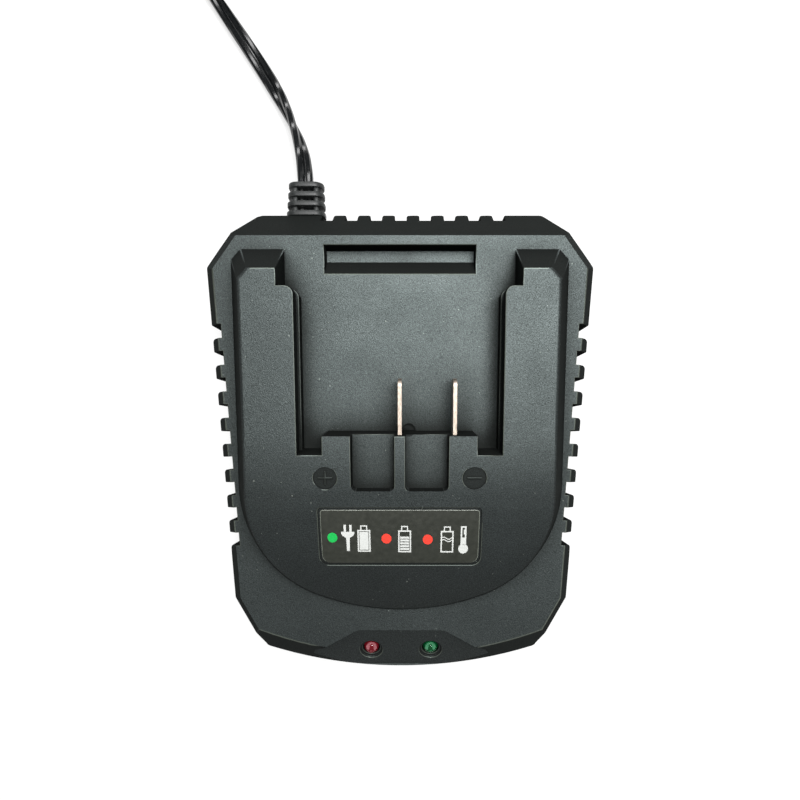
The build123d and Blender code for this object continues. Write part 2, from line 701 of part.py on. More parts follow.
# ---------------------------------------------------------------- upper_housing
# Screw bosses hang from the cover's ceiling down to the parting plane.
with BuildPart() as bosses:
    with BuildSketch(Plane.XY.offset(PARTING)):
        with Locations(*standing(SCREW_PLACES)):
            Circle(BOSS_DIAMETER / 2)
    extrude(amount=SKY)
    with BuildSketch(DECK.offset(block_top + BLOCK_GAP / 2)):
        with Locations((block_x, block_y)):
            Circle(BLOCK_BOSS / 2)
    extrude(amount=pocket_underside + WALL / 2 - block_top)
    add(outer, mode=Mode.INTERSECT)

with BuildPart() as upper_housing:
    add(outer)
    add(inner, mode=Mode.SUBTRACT)
    add(bosses.part)
    with Locations((0, 0, PARTING)):
        Box(2 * WIDTH, 2 * LENGTH, 2 * PARTING, align=HANGING, mode=Mode.SUBTRACT)
    add(grips, mode=Mode.SUBTRACT)
    add(relief_hole, mode=Mode.SUBTRACT)
    # pilot holes for the housing screws and the terminal block's screw
    with BuildSketch(Plane.XY.offset(PARTING)):
        with Locations(*standing(SCREW_PLACES)):
            Circle(SCREW_DIAMETER / 2 + SCREW_CLEARANCE)
    extrude(amount=SCREW_LENGTH + SCREW_SUNK + FOOT_HEIGHT - PARTING + PILOT_SPARE, mode=Mode.SUBTRACT)
    with BuildSketch(DECK.offset(block_top)):
        with Locations((block_x, block_y)):
            Circle(BOARD_SCREW_DIAMETER / 2 + SCREW_CLEARANCE)
    extrude(amount=BLOCK_SCREW_GRIP + PILOT_SPARE, mode=Mode.SUBTRACT)
    # slots for the contact blades
    with BuildSketch(DECK.offset(blade_low - BLADE_FIT)):
        with Locations(*[(x, blade_wall - WALL / 2) for x in BLADE_X]):
            Rectangle(BLADE_THICKNESS + 2 * BLADE_FIT, WALL + BLADE_FIT)
    extrude(amount=BLADE_HEIGHT + 2 * BLADE_FIT, mode=Mode.SUBTRACT)
    # half-round hollow at the foot of the bay's front wall
    with BuildSketch(DECK.offset(-DRAIN_DEPTH)):
        with Locations((DRAIN_X, blade_wall)):
            Circle(DRAIN_RADIUS)
            Rectangle(2 * DRAIN_RADIUS, 2 * DRAIN_RADIUS, align=(Align.CENTER, Align.MAX), mode=Mode.SUBTRACT)
    extrude(amount=2 * DRAIN_DEPTH, mode=Mode.SUBTRACT)
    # seats and holes of the two indicators
    for side in (1, -1):
        face = scoop_plane(LED_RUN, side * LED_SPACING / 2)
        with BuildSketch(face.offset(-LED_SEAT_DEPTH)):
            Circle(LED_SEAT_DIAMETER / 2)
        extrude(amount=2 * LED_SEAT_DEPTH, mode=Mode.SUBTRACT)
        with BuildSketch(face.offset(-2 * WALL)):
            Circle(LED_DIAMETER / 2 + LED_CLEARANCE)
        extrude(amount=3 * WALL, mode=Mode.SUBTRACT)
    # plus and minus signs in round recesses
    for side in (1, -1):
        with BuildSketch(crown_plane(side * SIGN_X, SIGN_Y).offset(-SIGN_DEPTH)):
            Circle(SIGN_DIAMETER / 2)
        extrude(amount=2 * SIGN_DEPTH, mode=Mode.SUBTRACT)
        with BuildSketch(crown_plane(side * SIGN_X, SIGN_Y).offset(-SIGN_DEPTH)):
            Rectangle(SIGN_BAR, SIGN_BAR_WIDTH)
            if side < 0:
                Rectangle(SIGN_BAR_WIDTH, SIGN_BAR)
        extrude(amount=SIGN_BAR_HEIGHT)
    add(label_recess, mode=Mode.SUBTRACT)
upper_housing.part.label = "upper_housing"
export_step(upper_housing.part, "parts/upper_housing.step")

# ---------------------------------------------------------------- lower_housing
tray_floor = FOOT_HEIGHT + WALL
relief_room = ring_plate(
    RELIEF_RING_WIDTH + 4 * RELIEF_FIT,
    RELIEF_RING_HEIGHT + 4 * RELIEF_FIT,
    3 * RELIEF_FLANGE,
    BACK - relief_wall - 3 * RELIEF_FLANGE,
)
with BuildPart() as rim:
    with BuildSketch(Plane.XY.offset(PARTING - LIP_RISE)):
        add(plan_outline(WALL / 2))
        add(plan_outline(WALL + RIM_CLEARANCE + RIM_THICKNESS), mode=Mode.SUBTRACT)
    extrude(amount=LIP_RISE)
    with BuildSketch(Plane.XY.offset(PARTING)):
        add(plan_outline(WALL + RIM_CLEARANCE))
        add(plan_outline(WALL + RIM_CLEARANCE + RIM_THICKNESS), mode=Mode.SUBTRACT)
    extrude(amount=LIP_RISE)
    add(nose_cap(WALL + RIM_CLEARANCE), mode=Mode.INTERSECT)
    add(scoop_cut(WALL + RIM_CLEARANCE), mode=Mode.SUBTRACT)
    add(relief_room, mode=Mode.SUBTRACT)

with BuildPart() as lower_housing:
    with BuildSketch(Plane.XY.offset(FOOT_HEIGHT)):
        add(plan_outline(0))
    extrude(amount=PARTING - FOOT_HEIGHT)
    chamfer(lower_housing.faces().sort_by(Axis.Z)[0].edges(), TRAY_EDGE)
    add(nose_cap(0), mode=Mode.INTERSECT)
    with BuildSketch(Plane.XY.offset(tray_floor)):
        add(plan_outline(WALL))
    extrude(amount=PARTING, mode=Mode.SUBTRACT)
    add(rim.part)
    with BuildSketch(Plane.XY.offset(FOOT_HEIGHT)):
        with Locations(*standing(SCREW_PLACES)):
            Circle(BOSS_DIAMETER / 2)
    extrude(amount=PARTING - FOOT_HEIGHT)
    with BuildSketch(Plane.XY.offset(FOOT_HEIGHT)):
        with Locations(*standing(BOARD_SCREW_PLACES)):
            Circle(STANDOFF_DIAMETER / 2)
    extrude(amount=BOARD_BOTTOM - FOOT_HEIGHT)
    # screw holes with sunk heads, and pilots for the board screws
    with BuildSketch(Plane.XY.offset(FOOT_HEIGHT)):
        with Locations(*standing(SCREW_PLACES)):
            Circle(SCREW_HEAD / 2 + SCREW_CLEARANCE)
    extrude(amount=SCREW_SUNK, mode=Mode.SUBTRACT)
    with BuildSketch(Plane.XY.offset(FOOT_HEIGHT)):
        with Locations(*standing(SCREW_PLACES)):
            Circle(SCREW_DIAMETER / 2 + SCREW_CLEARANCE)
    extrude(amount=PARTING, mode=Mode.SUBTRACT)
    with BuildSketch(Plane.XY.offset(BOARD_BOTTOM)):
        with Locations(*standing(BOARD_SCREW_PLACES)):
            Circle(BOARD_SCREW_DIAMETER / 2 + SCREW_CLEARANCE)
    extrude(amount=-BOARD_SCREW_GRIP - PILOT_SPARE, mode=Mode.SUBTRACT)
    # seats of the rubber feet, and ventilation slots
    with BuildSketch(Plane.XY.offset(FOOT_HEIGHT)):
        with Locations(*standing(FOOT_PLACES)):
            Circle(FOOT_DIAMETER / 2 + SCREW_CLEARANCE)
    extrude(amount=FOOT_RECESS, mode=Mode.SUBTRACT)
    with BuildSketch(Plane.XY.offset(FOOT_HEIGHT)):
        for side in (1, -1):
            with Locations((side * VENT_X, 0)):
                with GridLocations(0, VENT_PITCH, 1, VENT_COUNT):
                    SlotOverall(VENT_LENGTH, VENT_WIDTH)
    extrude(amount=WALL, mode=Mode.SUBTRACT)
    add(grips, mode=Mode.SUBTRACT)
    add(relief_hole, mode=Mode.SUBTRACT)
lower_housing.part.label = "lower_housing"
export_step(lower_housing.part, "parts/lower_housing.step")

# ---------------------------------------------------------------- indicator_label
label_back = LABEL_BACK - LABEL_MARGIN
label_front = LABEL_FRONT + LABEL_MARGIN
label_prism = crown_prism(LABEL_WIDTH, label_back, label_front, LABEL_BACK_CORNER, LABEL_CORNER)
with BuildPart() as indicator_label:
    add(label_prism)
    add(dock_slab(LABEL_RECESS - LABEL_THICKNESS), mode=Mode.INTERSECT)
    add(dock_slab(LABEL_RECESS), mode=Mode.SUBTRACT)
indicator_label.part.label = "indicator_label"
export_step(indicator_label.part, "parts/indicator_label.step")

# ---------------------------------------------------------------- contact blades
for name, x in zip(("contact_blade_center", "contact_blade_right"), BLADE_X):
    corner = (x - BLADE_THICKNESS / 2, 0, DECK_HEIGHT)
    cheek = Plane(origin=corner, x_dir=(0, cos(TILT), sin(TILT)), z_dir=(1, 0, 0))
    tail_top = pocket_underside - BLADE_FIT
    with BuildPart() as contact_blade:
        with BuildSketch(cheek):
            with BuildLine():
                Polyline(
                    (blade_wall + BLADE_REACH, blade_low),
                    (blade_wall + BLADE_REACH, blade_high),
                    (blade_wall - WALL + BLADE_FIT, blade_high),
                    (blade_wall - WALL + BLADE_FIT, tail_top),
                    (tail_back, tail_top),
                    (tail_back, block_top - BLOCK_HEIGHT - TAIL_OUT),
                    (tail_back + TAIL_WIDTH, block_top - BLOCK_HEIGHT - TAIL_OUT),
                    (tail_back + TAIL_WIDTH, blade_low),
                    close=True,
                )
            make_face()
        extrude(amount=BLADE_THICKNESS)
        tip = contact_blade.edges().filter_by(Axis.X).sort_by(Axis.Y)[-2:]
        fillet(tip, BLADE_TIP_RADIUS)
    contact_blade.part.label = name
    export_step(contact_blade.part, f"parts/{name}.step")

# ---------------------------------------------------------------- terminal_block
with BuildPart() as terminal_block:
    with BuildSketch(DECK.offset(block_top - BLOCK_HEIGHT)):
        with Locations((block_x, block_y)):
            RectangleRounded(BLOCK_LENGTH, BLOCK_WIDTH, BLOCK_CORNER)
            Circle(BOARD_SCREW_DIAMETER / 2 + SCREW_CLEARANCE, mode=Mode.SUBTRACT)
        with Locations(*[(x, block_y) for x in BLADE_X]):
            Rectangle(BLADE_THICKNESS + 2 * BLADE_FIT, TAIL_WIDTH + 2 * BLADE_FIT, mode=Mode.SUBTRACT)
    extrude(amount=BLOCK_HEIGHT)
terminal_block.part.label = "terminal_block"
export_step(terminal_block.part, "parts/terminal_block.step")

# ---------------------------------------------------------------- screws and feet
with BuildPart() as terminal_screw:
    with BuildSketch(DECK.offset(block_top - BLOCK_HEIGHT - BOARD_SCREW_HEAD_HEIGHT)):
        with Locations((block_x, block_y)):
            Circle(BOARD_SCREW_HEAD / 2)
    extrude(amount=BOARD_SCREW_HEAD_HEIGHT)
    with BuildSketch(DECK.offset(block_top - BLOCK_HEIGHT)):
        with Locations((block_x, block_y)):
            Circle(BOARD_SCREW_DIAMETER / 2)
    extrude(amount=BLOCK_HEIGHT + BLOCK_SCREW_GRIP)
terminal_screw.part.label = "terminal_screw"
export_step(terminal_screw.part, "parts/terminal_screw.step")

head_seat = FOOT_HEIGHT + SCREW_SUNK
with BuildPart() as housing_screws:
    with BuildSketch(Plane.XY.offset(head_seat - SCREW_HEAD_HEIGHT)):
        with Locations(*standing(SCREW_PLACES)):
            Circle(SCREW_HEAD / 2)
            Rectangle(SCREW_HEAD / 2, SCREW_HEAD / 8, mode=Mode.SUBTRACT)
            Rectangle(SCREW_HEAD / 8, SCREW_HEAD / 2, mode=Mode.SUBTRACT)
    extrude(amount=SCREW_HEAD_HEIGHT / 2)
    with BuildSketch(Plane.XY.offset(head_seat - SCREW_HEAD_HEIGHT / 2)):
        with Locations(*standing(SCREW_PLACES)):
            Circle(SCREW_HEAD / 2)
    extrude(amount=SCREW_HEAD_HEIGHT / 2)
    with BuildSketch(Plane.XY.offset(head_seat)):
        with Locations(*standing(SCREW_PLACES)):
            Circle(SCREW_DIAMETER / 2)
    extrude(amount=SCREW_LENGTH)
housing_screws.part.label = "housing_screws"
export_step(housing_screws.part, "parts/housing_screws.step")

with BuildPart() as board_screws:
    with BuildSketch(Plane.XY.offset(BOARD_TOP)):
        with Locations(*standing(BOARD_SCREW_PLACES)):
            Circle(BOARD_SCREW_HEAD / 2)
    extrude(amount=BOARD_SCREW_HEAD_HEIGHT)
    with BuildSketch(Plane.XY.offset(BOARD_TOP)):
        with Locations(*standing(BOARD_SCREW_PLACES)):
            Circle(BOARD_SCREW_DIAMETER / 2)
    extrude(amount=-BOARD_THICKNESS - BOARD_SCREW_GRIP)
board_screws.part.label = "board_screws"
export_step(board_screws.part, "parts/board_screws.step")

with BuildPart() as rubber_feet:
    with BuildSketch():
        with Locations(*standing(FOOT_PLACES)):
            Circle(FOOT_DIAMETER / 2)
    extrude(amount=FOOT_HEIGHT + FOOT_RECESS)
    chamfer(rubber_feet.faces().filter_by(Axis.Z).group_by(Axis.Z)[0].edges(), FOOT_HEIGHT / 3)
rubber_feet.part.label = "rubber_feet"
export_step(rubber_feet.part, "parts/rubber_feet.step")

# ---------------------------------------------------------------- circuit_board
with BuildPart() as circuit_board:
    with BuildSketch(Plane.XY.offset(BOARD_BOTTOM)):
        with Locations((0, (BOARD_BACK + BOARD_FRONT) / 2)):
            RectangleRounded(BOARD_WIDTH, BOARD_BACK - BOARD_FRONT, BOARD_CORNER)
        with Locations(*standing(BOARD_SCREW_PLACES)):
            Circle(BOARD_SCREW_DIAMETER / 2 + SCREW_CLEARANCE, mode=Mode.SUBTRACT)
    extrude(amount=BOARD_THICKNESS)
circuit_board.part.label = "circuit_board"
export_step(circuit_board.part, "parts/circuit_board.step")

# ---------------------------------------------------------------- indicators
# Each lamp stands on bent legs at the front edge of the board.
led_depth = LED_BELOW_FACE + LED_LENGTH
leg_paths = []
for name, side in (("led_red", -1), ("led_green", 1)):
    seat = scoop_plane(LED_RUN, side * LED_SPACING / 2).offset(-led_depth)
    with BuildPart(seat) as led:
        Cylinder(LED_FLANGE / 2, LED_FLANGE_THICKNESS, align=STANDING)
        Cylinder(LED_DIAMETER / 2, LED_LENGTH - LED_DIAMETER / 2, align=STANDING)
        with Locations((0, 0, LED_LENGTH - LED_DIAMETER / 2)):
            Sphere(LED_DIAMETER / 2)
    led.part.label = name
    export_step(led.part, f"parts/{name}.step")
    for leg in (1, -1):
        start = seat.from_local_coords(Vector(leg * LEG_PITCH / 2, 0, 0))
        bend = seat.from_local_coords(Vector(leg * LEG_PITCH / 2, 0, -LEG_BEND))
        end_y = BOARD_FRONT + LEG_INBOARD
        rise = BOARD_TOP + LEG_BEND
        over = (bend.X, end_y - 2 * LEG_BEND, rise)
        leg_paths.append([start, bend, over, (bend.X, end_y, rise - LEG_DROP), (bend.X, end_y, BOARD_TOP)])

# ---------------------------------------------------------------- leads inside
relief_inner = BACK - relief_wall - RELIEF_FLANGE - RELIEF_FIT
supply_paths = []
for side in (1, -1):
    x = RELIEF_X + side * SUPPLY_SPREAD
    pad_y = BOARD_BACK - SUPPLY_PAD
    turn_z = (RELIEF_HEIGHT + BOARD_TOP) / 2 + LEAD_SHIFT
    level = [(x, relief_inner, RELIEF_HEIGHT), (x, pad_y + SUPPLY_TURN, RELIEF_HEIGHT)]
    supply_paths.append(level + [(x, pad_y, turn_z), (x, pad_y, BOARD_TOP)])
output_paths = []
for x in BLADE_X:
    start = DECK.from_local_coords(Vector(x, block_y, block_top - BLOCK_HEIGHT - TAIL_OUT))
    below = start - DECK.z_dir * OUTPUT_DROP
    pad_y = below.Y - LEAD_SHIFT
    output_paths.append([start, below, (x, pad_y, (below.Z + BOARD_TOP) / 2), (x, pad_y, BOARD_TOP)])
lead_sets = {
    "led_legs": (leg_paths, LEG_DIAMETER),
    "supply_leads": (supply_paths, SUPPLY_LEAD),
    "output_leads": (output_paths, OUTPUT_LEAD),
}
for name, (paths, diameter) in lead_sets.items():
    with BuildPart() as leads:
        for path in paths:
            add(tube(path, diameter)[0])
    leads.part.label = name
    export_step(leads.part, f"parts/{name}.step")

# ---------------------------------------------------------------- parts on the board
# Each row is a name, its place on the board and its size; round parts give a diameter and a height.
for name, places, size in BOXES:
    with BuildPart() as block:
        with BuildSketch(Plane.XY.offset(BOARD_TOP)):
            with Locations(*places):
                RectangleRounded(size[0], size[1], min(size) / 8)
        extrude(amount=size[2])
    block.part.label = name
    export_step(block.part, f"parts/{name}.step")

for name, places, (diameter, height) in CANS:
    with BuildPart() as can:
        with BuildSketch(Plane.XY.offset(BOARD_TOP)):
            with Locations(*places):
                Circle(diameter / 2)
        extrude(amount=height)
        fillet(can.faces().filter_by(Axis.Z).group_by(Axis.Z)[-1].edges(), diameter / 16)
    can.part.label = name
    export_step(can.part, f"parts/{name}.step")

# ---------------------------------------------------------------- heat sinks with their devices
for name, device, side, y, (length, height, thickness) in HEAT_SINKS:
    inner_x = side * SINK_X
    with BuildPart() as sink:
        with BuildSketch(Plane.XY.offset(BOARD_TOP)):
            with Locations((inner_x, y)):
                Rectangle(thickness, length)
            with GridLocations(0, length / 4, 1, 4):
                with Locations((inner_x + side * (thickness + SINK_FIN) / 2, y)):
                    Rectangle(SINK_FIN, thickness)
        extrude(amount=height)
    sink.part.label = name
    export_step(sink.part, f"parts/{name}.step")
    with BuildPart() as package:
        with BuildSketch(Plane.XY.offset(BOARD_TOP + DEVICE_LEGS)):
            with Locations((inner_x - side * (thickness + DEVICE[1]) / 2, y)):
                Rectangle(DEVICE[1], DEVICE[0])
        extrude(amount=DEVICE[2])
        with BuildSketch(Plane.XY.offset(BOARD_TOP)):
            with Locations((inner_x - side * (thickness + DEVICE[1]) / 2, y)):
                with GridLocations(0, LEG_PITCH, 1, 3):
                    Rectangle(LEG_DIAMETER, 2 * LEG_DIAMETER)
        extrude(amount=DEVICE_LEGS)
    package.part.label = device
    export_step(package.part, f"parts/{device}.step")

# ---------------------------------------------------------------- transformer
# The winding fills the bobbin's window, and the two-legged core closes round both.
flange = CORE_LENGTH - 2 * CORE_LEG
tube_width = CORE_LEG + 2 * CORE_FIT + 2 * BOBBIN_TUBE
tube_depth = CORE_DEPTH + 2 * CORE_FIT + 2 * BOBBIN_TUBE
core_places = [(TRANSFORMER[0] + step * (CORE_LENGTH - CORE_LEG) / 2, TRANSFORMER[1]) for step in (-1, 0, 1)]
with BuildPart() as transformer_bobbin:
    with BuildSketch(Plane.XY.offset(BOARD_TOP)):
        with Locations(TRANSFORMER):
            RectangleRounded(flange - 2 * CORE_FIT, BOBBIN_WIDTH, BOBBIN_CORNER)
    extrude(amount=BOBBIN_HEIGHT)
    with BuildSketch(Plane.XY.offset(BOARD_TOP + BOBBIN_FLANGE)):
        with Locations(TRANSFORMER):
            Rectangle(flange, BOBBIN_WIDTH)
            RectangleRounded(tube_width, tube_depth, BOBBIN_CORNER, mode=Mode.SUBTRACT)
    extrude(amount=BOBBIN_HEIGHT - 2 * BOBBIN_FLANGE, mode=Mode.SUBTRACT)
    with BuildSketch(Plane.XY.offset(BOARD_TOP)):
        with Locations(TRANSFORMER):
            Rectangle(CORE_LEG + 2 * CORE_FIT, CORE_DEPTH + 2 * CORE_FIT)
    extrude(amount=BOBBIN_HEIGHT, mode=Mode.SUBTRACT)
transformer_bobbin.part.label = "transformer_bobbin"
export_step(transformer_bobbin.part, "parts/transformer_bobbin.step")

with BuildPart() as transformer_winding:
    with BuildSketch(Plane.XY.offset(BOARD_TOP + BOBBIN_FLANGE)):
        with Locations(TRANSFORMER):
            RectangleRounded(flange - 2 * WINDING_FIT, BOBBIN_WIDTH - 2 * WINDING_FIT, WINDING_CORNER)
            RectangleRounded(tube_width, tube_depth, BOBBIN_CORNER, mode=Mode.SUBTRACT)
    extrude(amount=BOBBIN_HEIGHT - 2 * BOBBIN_FLANGE)
transformer_winding.part.label = "transformer_winding"
export_step(transformer_winding.part, "parts/transformer_winding.step")

with BuildPart() as transformer_core:
    with BuildSketch(Plane.XY.offset(BOARD_TOP)):
        with Locations(*core_places):
            Rectangle(CORE_LEG, CORE_DEPTH)
    extrude(amount=BOBBIN_HEIGHT)
    with BuildSketch(Plane.XY.offset(BOARD_TOP + BOBBIN_HEIGHT)):
        with Locations(TRANSFORMER):
            Rectangle(CORE_LENGTH, CORE_DEPTH)
    extrude(amount=CORE_LEG)
transformer_core.part.label = "transformer_core"
export_step(transformer_core.part, "parts/transformer_core.step")

# ---------------------------------------------------------------- strain_relief
with BuildPart() as strain_relief:
    neck = RELIEF_FLANGE + relief_wall + 2 * RELIEF_FIT + RELIEF_RING_THICKNESS
    add(ring_plate(RELIEF_CORE_WIDTH, RELIEF_CORE_HEIGHT, neck, relief_inner))
    add(ring_plate(RELIEF_RING_WIDTH, RELIEF_RING_HEIGHT, RELIEF_FLANGE, relief_inner))
    for ring in range(RELIEF_RINGS):
        narrower = ring * RELIEF_TAPER
        ring_y = BACK + RELIEF_FIT + ring * RELIEF_PITCH
        ring_width = RELIEF_RING_WIDTH - narrower
        add(ring_plate(ring_width, RELIEF_RING_HEIGHT - narrower, RELIEF_RING_THICKNESS, ring_y))
        core_length = min(RELIEF_PITCH, BACK + RELIEF_LENGTH - ring_y)
        add(ring_plate(RELIEF_CORE_WIDTH - narrower, RELIEF_CORE_HEIGHT - narrower / 2, core_length, ring_y))
strain_relief.part.label = "strain_relief"
export_step(strain_relief.part, "parts/strain_relief.step")

# ---------------------------------------------------------------- cord
# The lead drops from its strain relief to the table and runs off to a tied coil.
coil_base = TIE_THICKNESS + TIE_FIT
coil_width = COIL_COLUMNS * CORD_WIDTH + 2 * COIL_SLACK
coil_height = COIL_LAYERS * CORD_WIDTH + 2 * COIL_SLACK
outer_turn = COIL_MEAN_DIAMETER / 2 + (COIL_COLUMNS - 1) * CORD_WIDTH / 2
low_turn = coil_base + COIL_SLACK + CORD_WIDTH / 2
high_turn = low_turn + (COIL_LAYERS - 1) * CORD_WIDTH


def coil_end(angle, reach, height):
    """Place on the straight that touches the outer turn at an angle, so far along it, and its direction."""
    turn = radians(angle)
    ahead = Vector(sin(turn), -cos(turn), 0)
    touch = Vector(COIL_CENTRE[0] + outer_turn * cos(turn), COIL_CENTRE[1] + outer_turn * sin(turn), height)
    return touch + ahead * reach, ahead


entry, entry_ahead = coil_end(COIL_ENTRY_ANGLE, -COIL_STUB, low_turn)
leave, leave_ahead = coil_end(COIL_EXIT_ANGLE, COIL_STUB, high_turn)
plug_z = PLUG_HEIGHT / 2
cord_start = (RELIEF_X, BACK + RELIEF_LENGTH - 1, RELIEF_HEIGHT)
cord_falls = [(-32.6, 97.5, 13.0), (-35.6, 108.0, 8.6), (-41.0, 120.5, 4.2)]
cord_lies = [(-50.0, 135.5, 2.9), (-61.2, 151.5, 3.0)]
cord_route = [cord_start, *cord_falls, *cord_lies, entry]
tail_route = [leave, (-14.5, 215.3, 17.0), (-3.5, 207.6, 10.5), (6.5, 201.4, plug_z), (17.0, 196.0, plug_z)]

cord_tube, cord_radii, cord_run = tube(cord_route, CORD_WIDTH)
tail_tube, tail_radii, tail_run = tube(tail_route, CORD_WIDTH)
coil_turns = (CORD_LENGTH - cord_run - tail_run - 2 * COIL_STUB) / (pi * COIL_MEAN_DIAMETER)
print("cord radii", [round(radius, 1) for radius in cord_radii], "least", 5 * CORD_WIDTH)
print("tail radii", [round(radius, 1) for radius in tail_radii])
print("lengths", round(cord_run, 1), round(tail_run, 1), "turns left for the coil", round(coil_turns, 2))

with BuildPart() as cord_coil:
    with BuildSketch(Plane(origin=(*COIL_CENTRE, 0), x_dir=(1, 0, 0), z_dir=(0, -1, 0))):
        with Locations((COIL_MEAN_DIAMETER / 2, coil_base + coil_height / 2)):
            RectangleRounded(coil_width, coil_height, COIL_CORNER)
    revolve(axis=Axis((*COIL_CENTRE, 0), (0, 0, 1)))
    for place, ahead in ((entry, entry_ahead), (leave, leave_ahead * -1)):
        with BuildSketch(Plane(origin=place, z_dir=ahead)):
            Circle(CORD_WIDTH / 2)
        extrude(amount=COIL_STUB)
cord_coil.part.label = "cord_coil"
export_step(cord_coil.part, "parts/cord_coil.step")

with BuildPart() as power_cord:
    add(cord_tube)
    add(strain_relief.part, mode=Mode.SUBTRACT)
    add(cord_coil.part, mode=Mode.SUBTRACT)
power_cord.part.label = "power_cord"
export_step(power_cord.part, "parts/power_cord.step")

with BuildPart() as cord_tail:
    add(tail_tube)
    add(cord_coil.part, mode=Mode.SUBTRACT)
cord_tail.part.label = "cord_tail"
export_step(cord_tail.part, "parts/cord_tail.step")

tie_turn = radians(TIE_ANGLE)
outward = Vector(cos(tie_turn), sin(tie_turn), 0)
tie_spot = Vector(*COIL_CENTRE, coil_base + coil_height / 2) + outward * (COIL_MEAN_DIAMETER / 2)
with BuildPart() as cord_tie:
    with BuildSketch(Plane(origin=tie_spot, x_dir=outward, z_dir=outward.cross(Vector(0, 0, 1)))):
        RectangleRounded(coil_width + 2 * TIE_FIT, coil_height + 2 * TIE_FIT, COIL_CORNER - 2 * TIE_FIT)
        offset(amount=TIE_THICKNESS)
        with BuildSketch(mode=Mode.SUBTRACT):
            RectangleRounded(coil_width + 2 * TIE_FIT, coil_height + 2 * TIE_FIT, COIL_CORNER - 2 * TIE_FIT)
    extrude(amount=TIE_WIDTH / 2, both=True)
cord_tie.part.label = "cord_tie"
export_step(cord_tie.part, "parts/cord_tie.step")

# ---------------------------------------------------------------- plug
plug_spot = Vector(*tail_route[-1])
plug_ahead = (plug_spot - Vector(*tail_route[-2])).normalized()
plug_face = Plane(origin=plug_spot, x_dir=plug_ahead.cross(Vector(0, 0, 1)), z_dir=plug_ahead)
with BuildPart() as plug_body:
    with BuildSketch(plug_face):
        RectangleRounded(PLUG_NECK_WIDTH, PLUG_NECK_HEIGHT, PLUG_NECK_CORNER)
    with BuildSketch(plug_face.offset(PLUG_LENGTH / 3)):
        RectangleRounded(PLUG_SHOULDER_WIDTH, PLUG_HEIGHT, PLUG_CORNER)
    with BuildSketch(plug_face.offset(PLUG_LENGTH)):
        RectangleRounded(PLUG_WIDTH, PLUG_HEIGHT, PLUG_CORNER)
    loft(ruled=True)
plug_body.part.label = "plug_body"
export_step(plug_body.part, "parts/plug_body.step")

with BuildPart() as plug_prongs:
    with BuildSketch(plug_face.offset(PLUG_LENGTH)):
        with GridLocations(PRONG_SPACING, 0, 2, 1):
            Rectangle(PRONG_THICKNESS, PRONG_WIDTH)
    extrude(amount=PRONG_LENGTH)
    tips = plug_prongs.faces().filter_by(lambda f: f.normal_at().dot(plug_ahead) > 0.99).edges()
    fillet(tips.filter_by(lambda e: e.length < PRONG_WIDTH / 2), PRONG_WIDTH / 4)
plug_prongs.part.label = "plug_prongs"
export_step(plug_prongs.part, "parts/plug_prongs.step")
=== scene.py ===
import json
import math

import bmesh
import bpy
from mathutils import Matrix, Vector
from mathutils.bvhtree import BVHTree
from mathutils.kdtree import KDTree

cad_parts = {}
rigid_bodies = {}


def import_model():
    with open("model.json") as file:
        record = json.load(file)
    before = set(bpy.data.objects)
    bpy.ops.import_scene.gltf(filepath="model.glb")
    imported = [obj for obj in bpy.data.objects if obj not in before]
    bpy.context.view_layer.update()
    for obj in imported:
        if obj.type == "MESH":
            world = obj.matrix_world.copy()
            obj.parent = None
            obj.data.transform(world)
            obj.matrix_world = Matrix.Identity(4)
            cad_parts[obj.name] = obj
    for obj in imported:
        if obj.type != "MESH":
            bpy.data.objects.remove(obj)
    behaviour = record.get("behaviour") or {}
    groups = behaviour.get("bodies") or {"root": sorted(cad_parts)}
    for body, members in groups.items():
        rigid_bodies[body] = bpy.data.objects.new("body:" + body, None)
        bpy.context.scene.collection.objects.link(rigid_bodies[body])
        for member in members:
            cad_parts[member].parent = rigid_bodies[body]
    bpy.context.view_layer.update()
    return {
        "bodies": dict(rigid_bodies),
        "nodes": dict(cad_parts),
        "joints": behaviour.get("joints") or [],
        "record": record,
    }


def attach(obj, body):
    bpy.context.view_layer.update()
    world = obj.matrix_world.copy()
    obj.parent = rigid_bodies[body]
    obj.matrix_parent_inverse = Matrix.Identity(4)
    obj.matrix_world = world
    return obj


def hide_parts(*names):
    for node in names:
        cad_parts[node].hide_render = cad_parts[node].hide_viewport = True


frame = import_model()
nodes = frame["nodes"]

# ---------------------------------------------------------------- camera
# The charger lies on a pale table and is looked at from straight above, from a little over 0.2 m.
# MM turns millimetres into metres.
MM = 0.001
LENS_HEIGHT = 227 * MM
LENS_X = 3 * MM
LENS_Y = 1.5 * MM
LENS_LENGTH = 28.35
SENSOR_WIDTH = 36  # mm, as LENS_LENGTH is
NEAREST_SEEN = 5 * MM
SHIFT_ACROSS = -0.0124
SHIFT_DOWN = 0.0475  # moves the charger towards the foot of the frame

camera = bpy.data.objects.new("camera", bpy.data.cameras.new("camera"))
camera.location = (LENS_X, LENS_Y, LENS_HEIGHT)
camera.data.lens = LENS_LENGTH
camera.data.sensor_width = SENSOR_WIDTH
camera.data.shift_x = SHIFT_ACROSS
camera.data.shift_y = SHIFT_DOWN
camera.data.clip_start = NEAREST_SEEN
bpy.context.scene.collection.objects.link(camera)
bpy.context.scene.camera = camera
bpy.context.scene.view_settings.view_transform = "Standard"


# ---------------------------------------------------------------- table and light
# A pale table top without any pattern, one soft lamp high over the charger, a long weaker one behind
# it, and a faint even surrounding. Only eye, mirror and glass see the table brighter.
def linear(hex_colour):
    """Linear RGBA colour of an sRGB hex value such as '#202224'."""
    parts = [int(hex_colour[place:place + 2], 16) / 255 for place in (1, 3, 5)]
    return (*[part / 12.92 if part <= 0.04045 else ((part + 0.055) / 1.055) ** 2.4 for part in parts], 1.0)


